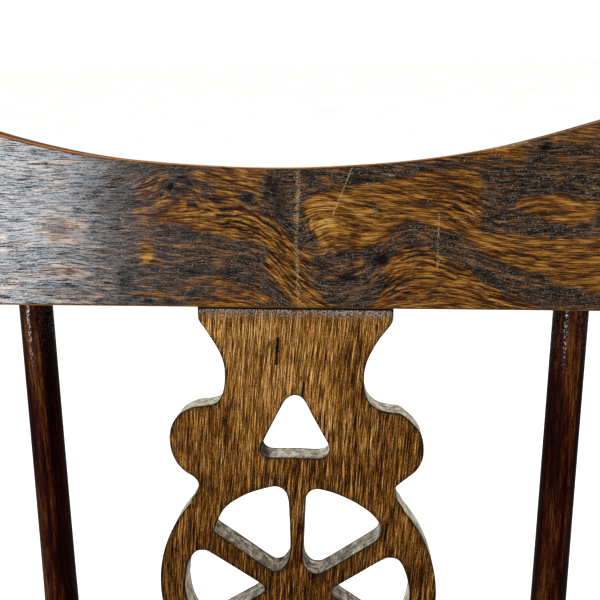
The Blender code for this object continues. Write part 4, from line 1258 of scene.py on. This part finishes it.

# The figure, read off the board in millimetres: u across from the middle, v up from the lower
# edge. Each stroke is a place and the way the lines run there, and patches make the wood pale or dark.
CREST_STROKES = [
    (-170, 80, -20), (-170, 60, -4), (-170, 40, 0), (-170, 20, 0), (-170, 4, 0), (-150, 70, -10),
    (-150, 50, -2), (-150, 30, 4), (-150, 12, 2), (-135, 76, -16), (-128, 62, 0), (-120, 73, -6),
    (-128, 46, 0), (-128, 30, 8), (-128, 20, 14), (-116, 27, 0), (-102, 24, -14), (-128, 8, 6),
    (-115, 13, 0), (-100, 10, -8), (-118, 3, 2), (-105, 40, 0), (-105, 56, 2), (-100, 68, -8),
    (-88, 64, 14), (-88, 48, 2), (-88, 32, 0), (-84, 14, -6), (-84, 3, 0), (-76, 44, 0), (-74, 36, 4),
    (-76, 66, 8), (-66, 64, 24), (-68, 55, 62), (-61, 57, 90), (-58, 62, 42), (-60, 50, 140),
    (-52, 52, 172), (-50, 65, 0), (-44, 62, -10), (-45, 58, -30), (-40, 64, -2), (-30, 61, -4),
    (-20, 61, -5), (-10, 62, -6), (-34, 55, -12), (-22, 52, -14), (-12, 52, -14), (-66, 43, -4),
    (-56, 44, -12), (-50, 47, -18), (-40, 49, -24), (-40, 42, -20), (-30, 44, -27), (-30, 36, -22),
    (-20, 41, -31), (-20, 34, -26), (-12, 37, -36), (-12, 30, -40), (-5, 33, -46), (-10, 25, -50),
    (-7, 18, -62), (-8, 10, -66), (-1, 24, -48), (0, 13, -44), (4, 17, -56), (7, 8, -42), (9, 12, -50),
    (14, 4, -36), (15, 8, -26), (23, 4, -10), (3, 4, -44), (-60, 34, -3), (-45, 34, -8), (-28, 28, -8),
    (-55, 25, 0), (-38, 22, 0), (-20, 22, -10), (-52, 16, 10), (-40, 17, 2), (-30, 14, -12), (-20, 10, -20),
    (-52, 9, 12), (-40, 9, 2), (-30, 7, -8), (-18, 5, -14), (-46, 3, 8), (-36, 4, 0), (-26, 2, -8),
    (-70, 30, 0), (-64, 26, -34), (-68, 20, -4), (-70, 12, 0), (-66, 5, 0), (-2, 58, -4), (0, 48, 50),
    (10, 62, 2), (30, 63, 2), (48, 64, 5), (64, 66, 8), (80, 67, 10), (94, 67, 6), (10, 55, 34),
    (6, 49, 74), (6, 42, 98), (9, 36, 118), (13, 31, 132), (19, 28, 176), (16, 44, 6), (22, 38, -8),
    (20, 52, 2), (30, 54, 2), (30, 48, -6), (42, 49, -9), (30, 40, -12), (44, 42, -14), (44, 56, -2),
    (56, 50, -10), (56, 43, 2), (60, 58, -4), (34, 34, -14), (26, 22, 0), (30, 14, 0), (34, 24, 24),
    (40, 32, 34), (47, 36, 28), (57, 39, 2), (66, 36, -22), (74, 31, -32), (84, 25, -30), (96, 19, -24),
    (110, 12, -22), (126, 8, -14), (41, 22, 52), (44, 27, 34), (54, 31, 8), (63, 28, -14), (72, 23, -24),
    (84, 16, -26), (96, 10, -22), (42, 15, 46), (50, 20, 22), (60, 20, -8), (72, 15, -20), (84, 8, -20),
    (98, 3, -16), (44, 8, 30), (54, 9, 6), (66, 8, -8), (78, 4, -12), (50, 2, 4), (64, 1, 0), (36, 5, 10),
    (70, 52, -12), (70, 60, -4), (74, 46, -24), (80, 52, -24), (82, 45, -32), (78, 39, -30), (72, 40, -24),
    (86, 36, -16), (98, 33, -5), (112, 32, -3), (128, 32, -3), (100, 26, -12), (114, 22, -12),
    (128, 20, -8), (92, 55, -10), (92, 44, -10), (98, 60, 2), (103, 48, 40), (108, 51, 16), (120, 54, 0),
    (133, 50, -16), (108, 44, -18), (120, 41, 0), (133, 43, 8), (118, 47, 0), (112, 60, 2), (128, 60, -3),
    (115, 67, 2), (130, 68, -2), (112, 73, 4), (128, 77, -6), (150, 80, 6), (150, 60, -4), (150, 40, 2),
    (150, 22, -4), (150, 6, -6), (172, 84, 10), (172, 60, 0), (172, 40, 2), (172, 20, 0), (172, 4, 0),
]
CREST_AREAS = [
    (0.37, [(-185, -5), (-97, -5), (-101, 28), (-97, 50), (-103, 70), (-110, 95), (-185, 110)]),
    (0.47, [(-73, 42), (-60, 41), (-50, 44), (-46, 54), (-56, 62), (-66, 63), (-74, 54)]),
    (0.50, [(-46, 52), (-30, 50), (-14, 47), (-12, 58), (-6, 64), (-20, 65.5), (-44, 64)]),
    (0.60, [(-64, 41.5), (-48, 38), (-30, 33.5), (-16, 31), (-12, 26), (-13, 18), (-7, 9), (2, 1), (9, -3),
            (20, -3), (12, 8), (7, 16), (4, 24), (2, 32), (-6, 40), (-18, 46), (-36, 50), (-52, 49)]),
    (0.42, [(-76, 4), (-60, 8), (-50, 11), (-40, 16), (-28, 13), (-14, 8), (-12, -2), (-76, -2)]),
    (0.60, [(-50, 1), (-42, 3.6), (-34, 4.8), (-26, 3.6), (-18, 0.5), (-24, -3), (-46, -3)]),
    (0.60, [(6, 50), (12, 55), (25, 56.5), (40, 58.5), (56, 62), (72, 65), (84, 62), (86, 50), (84, 38),
            (74, 36), (66, 37.5), (57, 41), (48, 37), (40, 31.5), (34, 28.5), (26, 27), (18, 27.5),
            (12, 31.5), (7.5, 38), (5.5, 44)]),
    (0.57, [(42, 19), (44, 24), (50, 29), (56, 31), (64, 28), (74, 22), (86, 17), (98, 9), (112, 2),
            (120, -3), (44, -3), (40, 6), (43, 12)]),
    (0.55, [(76, 37), (84, 36), (100, 35), (118, 34), (140, 34), (160, 32), (160, 6), (140, 7), (124, 12),
            (108, 18), (94, 23), (84, 29)]),
    (0.59, [(101, 49), (108, 52), (118, 54.5), (128, 52), (136, 47), (132, 42), (122, 40), (112, 42.5),
            (105, 45.5)]),
    (0.43, [(56, 66), (72, 64), (88, 62), (98, 66), (106, 70), (100, 76), (84, 73), (66, 70)]),
    (0.44, [(100, 66), (118, 69), (140, 70), (150, 66), (140, 64), (118, 63.5)]),
    (0.44, [(114, 77), (122, 76), (140, 75), (182, 72), (182, 104), (150, 96), (118, 84)]),
]
CREST_PATCHES = [
    (-112, 38, 13, 9, 0, 0.50), (-112, 17, 15, 3, 0, 0.50), (-115, 25.5, 12, 2.6, 0, 0.24),
    (-113, 11, 15, 2, 0, 0.26), (-115, 72.6, 11, 2.2, 0, 0.18), (-98, 52, 8, 11, 0, 0.25),
    (-85, 55, 10, 14, 0, 0.22), (-80, 26, 6, 14, 0, 0.24), (-81, 14, 5, 6, 0, 0.16),
    (-70.5, 27, 4.6, 6.5, 0, 0.54), (-69.6, 24, 2.6, 1.9, 0, 0.95), (-64, 21, 4, 1.6, -30, 0.52),
    (-57, 57, 2.6, 2.4, 40, 0.04), (-52, 60.3, 3.8, 1.4, 15, 0.06), (-47.5, 58.5, 3.2, 1.6, -10, 0.06),
    (-52, 57.6, 2.5, 1.0, 10, 0.55), (-20, 51.5, 4, 2.8, -10, 0.10), (-40, 56, 3, 3.5, 0, 0.28),
    (-8, 56, 6, 9, 0, 0.15), (-5, 46, 5, 7, 0, 0.18), (-30, 60, 3, 1.5, 0, 0.68), (-28, 54, 3, 1.5, 0, 0.68),
    (-60, 37, 9, 2.5, -8, 0.18), (-48, 17.5, 6, 1.8, 0, 0.14), (-29, 17.5, 4, 2.2, 0, 0.12),
    (-45, 24, 12, 3, 0, 0.34), (-33, 28, 8, 2, -8, 0.36), (-47, 6.8, 8, 1.6, 10, 0.15),
    (-20, 10.5, 10, 1.3, -14, 0.20), (-18, 6.5, 8, 1.5, -10, 0.72), (-32, 12.5, 7, 1.3, -8, 0.62),
    (-68, 6.3, 8, 1.3, 0, 0.66), (-70, 3, 3.4, 1.5, 0, 0.10), (-60, 2.6, 4, 1.8, 0, 0.08),
    (-17, 14, 5, 3, 0, 0.20), (33, 59.3, 7, 1.8, 2, 0.12), (22, 64.4, 4, 0.8, 0, 0.5),
    (16.5, 40.5, 4.6, 2.0, 0, 0.98), (11, 46, 2.5, 4, 0, 0.70), (30, 44, 8, 5, -8, 0.68),
    (38.5, 46.5, 4.5, 1.2, -12, 0.32), (24, 32, 3.6, 1.8, 0, 0.46), (70, 52, 12, 9, 0, 0.53),
    (22, 25.6, 3, 1.6, 0, 0.03), (30, 22.5, 3, 2, 0, 0.14), (26, 15, 5.5, 2.4, 4, 0.02),
    (34, 14.6, 3, 1.1, 0, 0.08), (32, 21.5, 1.6, 2, 0, 0.56), (41, 23.8, 3.4, 2.6, 20, 0.02),
    (47, 27.3, 4, 1.1, 22, 0.04), (4, 22.5, 5, 3.5, 0, 0.56), (5, 25.5, 4, 1.4, 0, 0.62),
    (10, 18, 2.2, 5, 0, 0.42), (44, 11.5, 1.6, 0.9, 30, 0.04), (47, 8.2, 1.6, 1.2, 0, 0.02),
    (51, 12.4, 2, 1, 30, 0.04), (87, 17, 8, 1.4, -24, 0.14), (94, 12, 8, 1.2, -22, 0.14),
    (88, 32.5, 9, 1.6, -3, 0.76), (74, 15.5, 8, 1.6, -20, 0.72), (94, 5, 8, 1.4, -18, 0.74),
    (62, 18, 6, 1.4, -4, 0.72), (112, 73.4, 4, 1.8, 10, 0.04), (124, 72.5, 8, 2, 0, 0.20),
    (92, 73, 11, 1.5, 14, 0.85), (97, 71, 6, 1.2, 8, 0.7), (128, 7, 12, 4, -8, 0.22),
    (130, 1.2, 10, 0.7, 0, 0.6), (112, 60, 26, 6, 0, 0.24), (118, 37, 16, 2.4, -2, 0.25),
    (113, 16, 5, 1.5, -10, 0.12), (158, 52, 16, 7, 0, 0.55), (162, 24, 14, 6, 0, 0.52),
]

# Where the grain dives through the face, so that its lines show as a row of ribs
CREST_RIBS = [
    (-44, 47, 11, 7, -20, 0.6), (-28, 43, 14, 8, -26, 0.9), (-14, 37, 12, 9, -36, 1.0),
    (-6, 27, 9, 10, -50, 1.0), (0, 15, 9, 12, -50, 0.9), (10, 8, 12, 7, -45, 0.8),
    (-54, 56, 8, 6, 0, 0.5), (60, 24, 15, 6, -8, 0.6), (78, 17, 16, 7, -24, 0.7),
    (96, 8, 16, 7, -20, 0.7), (60, 7, 16, 5, 0, 0.5), (104, 25, 20, 6, -6, 0.35),
    (76, 46, 9, 9, 0, 0.8), (60, 54, 16, 7, 0, 0.35), (46, 11, 7, 5, 0, 0.9),
    (72, 66, 20, 3.5, 8, 0.5), (-30, 10, 16, 6, -8, 0.5),
]

# Where grime has settled again on the rubbed edges
CREST_DULL_EDGES = [(55, -8, 150, 15, 0, 1.0), (30, 70, 26, 5, 0, 0.6), (105, 80, 50, 8, 14, 0.75)]

# The wax lies thicker towards the left end, in level bands
CREST_WAX = [
    (-150, 40, 68, 120, 0, 1.14), (-108, 42, 13, 60, 0, 1.30), (-98, 65, 12, 5, -6, 1.60),
    (-117, 39, 20, 8, 0, 1.62), (-130, 71, 12, 7, -12, 1.45), (-114, 26, 14, 3, 0, 0.82),
    (-137, 19, 14, 7, 0, 0.92), (-113, 7, 18, 5, 0, 0.70),
]

# How finely the closed line of an area is followed and how softly it ends, in millimetres
AREA_RIM_STEP = 1.2
AREA_MARGIN = 0.6


def areas(u, v, start, table, margin):
    """A level moved to each area's own, inside its closed line: the weight is 1 / (1 + exp(-d / margin)),
    with d the distance inside the line."""
    level = np.full_like(u, start)
    spots = np.column_stack([u, v])
    for target, line in table:
        ring = evenly(through(line, closed=True), AREA_RIM_STEP)
        depth = nearest(spots, ring) * np.where(inside(spots, [ring]), 1, -1)
        level += (target - level) / (1 + np.exp(-np.clip(depth / margin, -30, 30)))
    return level


spots = places(crest)
u, v = spots[:, 0] / MM, spots[:, 1] / MM
rough_u = u + 1.3 * wander(u, v, 4.0, 0.9) + 0.8 * wander(u, v, 1.7, 2.2)
rough_v = v + 0.9 * wander(u, v, 3.4, 1.6) + 0.4 * wander(u, v, 1.5, 0.1)
level = areas(rough_u, rough_v, 0.30, CREST_AREAS, AREA_MARGIN)
keep(crest, "gold", patches(rough_u, rough_v, level, CREST_PATCHES))
keep(crest, "ribs", patches(rough_u, rough_v, 0.0, CREST_RIBS))
keep(crest, "dull", patches(rough_u, rough_v, 0.0, CREST_DULL_EDGES))
keep(crest, "wax", patches(rough_u, rough_v, 0.60, CREST_WAX))

# The grain's depth takes a share of the height, so that streaks break up along steep lines too
STEEP_SHARE = 0.125
lines = v + combed(u, v, CREST_STROKES) + 0.5 * wander(u, v, 9, 0.3)
keep(crest, "grain", np.column_stack([
    spots[:, 0], lines * MM, spots[:, 2] + STEEP_SHARE * spots[:, 1],
]))
keep(crest, "board", spots)
crest_front = back_foot + back_axes[1] * BACK_RISE + back_axes[2] * CREST_THICKNESS / 2
move(crest, crest_front + spots @ back_axes)

# The pale scuffs down the middle and the small nicks
CREST_MARKS = [
    ((3.0, 63), (1.8, 36), 2.2, 0.66), ((1.6, 34), (2.8, 1), 2.1, 0.70),
    ((27.6, 66), (18.6, 44), 0.5, 0.40), ((66.8, 45), (66.9, 20), 1.2, 0.70),
    ((82, 72.3), (104, 75.8), 1.1, 0.55), ((41, 62.5), (47, 61.5), 0.6, 0.5),
    ((-81.5, 43), (-80.6, 41), 0.5, 0.20), ((-78.5, 37.5), (-76.5, 40), 0.4, 0.5),
    ((15, 26), (13.5, 23), 0.4, 0.5),
]
dress(crest, stained_elm("crest_elm", CREST_MARKS))
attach(crest, "root")
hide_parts("crest_rail")

# Oak wedges spread the ends of the legs and sticks in the seat, and two oak pegs lock the sticks in
# the rail from behind. They are cut flush, so their end grain shows, darkened by wax.


def end_grain_oak():
    """Flush end grain: rows of dull brown with dark pores, as old wax leaves it."""
    made, tree, shader = finish("end_grain_oak")
    place = add(tree, "TexCoord")["Object"]
    rows = streaks(tree, place, 0.5, 0.6, 2.7)
    pores = fade(tree, streaks(tree, place, 0.25, 0.25, 5.5), 0.6, 0.9)
    colour = ramp(tree, rows, [(0.0, srgb(74, 48, 30)), (0.5, srgb(108, 76, 46)), (1.0, srgb(142, 106, 66))])
    feed(tree, shader, {
        "Base Color": mix(tree, pores, colour, srgb(40, 26, 18)),
        "Roughness": weighted(tree, 0.5, (0.2, rows)),
        "Normal": bump(tree, weighted(tree, 0.5, (-0.8, pores)), 0.4, 0.1),
    })
    return made


END_GRAIN_OAK = end_grain_oak()
for name, node in frame["nodes"].items():
    if name.endswith(("_wedge", "_peg")):
        dress(node, END_GRAIN_OAK)

# The room: a pale floor that runs out of sight, soft daylight from overhead, a soft box on each side
# in front and one behind. The left end of the crest rail mirrors the left one, as in the photograph.

FLOOR_HALF = 14.0
FLOOR_CELLS = 28

# The camera sees the floor and the air pale, and the wood mirrors them darker
FLOOR_MIRRORED = (0.34, 0.34, 0.34, 1)
AIR_MIRRORED = 0.22
AIR_SEEN = 1.15


def standing_at(place, *axes):
    """The matrix that puts a light or camera here, with these three axes as its own."""
    return Matrix(np.vstack([np.column_stack([*axes, place]), [0, 0, 0, 1]]).tolist())


def area_light(name, place, target, width, height, radiance):
    """A soft box of this size and brightness that faces its target."""
    light = bpy.data.lights.new(name, "AREA")
    light.shape = "RECTANGLE"
    light.size = width
    light.size_y = height
    light.energy = radiance * math.pi * width * height
    made = bpy.data.objects.new(name, light)
    away = np.subtract(place, target)
    up = away / np.linalg.norm(away)
    across = np.cross([0, 0, 1], up) if abs(up[2]) < 0.99 else np.array([1.0, 0, 0])
    across /= np.linalg.norm(across)
    made.matrix_world = standing_at(place, across, np.cross(up, across), up)
    bpy.context.scene.collection.objects.link(made)
    return made


ticks = np.linspace(-FLOOR_HALF, FLOOR_HALF, FLOOR_CELLS + 1)
floor_x, floor_y = (grid.ravel() for grid in np.meshgrid(ticks, ticks))
floor_index = np.arange(len(ticks) ** 2).reshape(len(ticks), -1)
floor_quads = np.stack([
    floor_index[:-1, :-1], floor_index[:-1, 1:], floor_index[1:, 1:], floor_index[1:, :-1],
], axis=-1).reshape(-1, 4)
floor = build("floor", np.column_stack([floor_x, floor_y, 0 * floor_x]), floor_quads.tolist())
floor_paint, floor_tree, floor_shader = finish("pale_floor")
floor_place = add(floor_tree, "TexCoord")["Object"]
floor_cloud = add(floor_tree, "TexNoise", {}, {"Vector": floor_place, "Scale": 3.0, "Detail": 4.0})[0]
floor_tone = ramp(floor_tree, floor_cloud, [(0.3, (0.80, 0.80, 0.79, 1)), (0.7, (0.84, 0.84, 0.83, 1))])
seen_floor = add(floor_tree, "LightPath")["Is Camera Ray"]
floor_colour = mix(floor_tree, seen_floor, FLOOR_MIRRORED, floor_tone)
feed(floor_tree, floor_shader, {"Base Color": floor_colour, "Roughness": 0.9})
dress(floor, floor_paint)

daylight = bpy.data.lights.new("soft_daylight", "SUN")
daylight.energy = 3.2
daylight.angle = math.radians(110)
overhead = bpy.data.objects.new("soft_daylight", daylight)
overhead.location = (0, 0, 3)
bpy.context.scene.collection.objects.link(overhead)

# Each soft box: where it stands, what it faces, its width and height, and how bright it is
left_box = area_light("left_soft_box", (-1.08, -1.22, 0.90), (-0.11, 0.17, 0.72), 0.66, 0.9, 20.0)
left_box.data.color = (0.88, 0.99, 1.08)
area_light("right_soft_box", (1.55, -1.30, 1.05), (0.05, 0.0, 0.70), 0.7, 0.9, 3.0)
area_light("rear_soft_box", (0.90, 1.70, 1.90), (0.0, 0.1, 0.50), 1.0, 0.9, 7.0)

world = bpy.data.worlds.new("room")
bpy.context.scene.world = world
world.use_nodes = True
sky = world.node_tree
seen = fade(sky, add(sky, "LightPath")["Is Camera Ray"], 0, 1, AIR_MIRRORED, AIR_SEEN)
feed(sky, sky.nodes["Background"], {"Color": (1.0, 1.0, 1.0, 1), "Strength": seen})

# The camera stands close in front of the back and a little above it, and looks down at it. Its place
# and axes were solved from the wheel's circles, the sticks and the rail's lower edge in the photograph.
CAMERA_PLACE = (0.0264, -0.1079, 0.8079)
CAMERA_RIGHT = np.array([0.9971, 0.0732, -0.0213])
CAMERA_UP = np.array([-0.0095, 0.3963, 0.9181])
camera_data = bpy.data.cameras.new("photo_camera")
camera_data.lens = 38.66
camera_data.sensor_width = 36
camera_data.clip_start = 0.01
camera_data.clip_end = 60
camera = bpy.data.objects.new("photo_camera", camera_data)
camera.matrix_world = standing_at(
    CAMERA_PLACE, CAMERA_RIGHT, CAMERA_UP, np.cross(CAMERA_RIGHT, CAMERA_UP)
)
bpy.context.scene.collection.objects.link(camera)
bpy.context.scene.camera = camera
bpy.context.scene.view_settings.view_transform = "Standard"
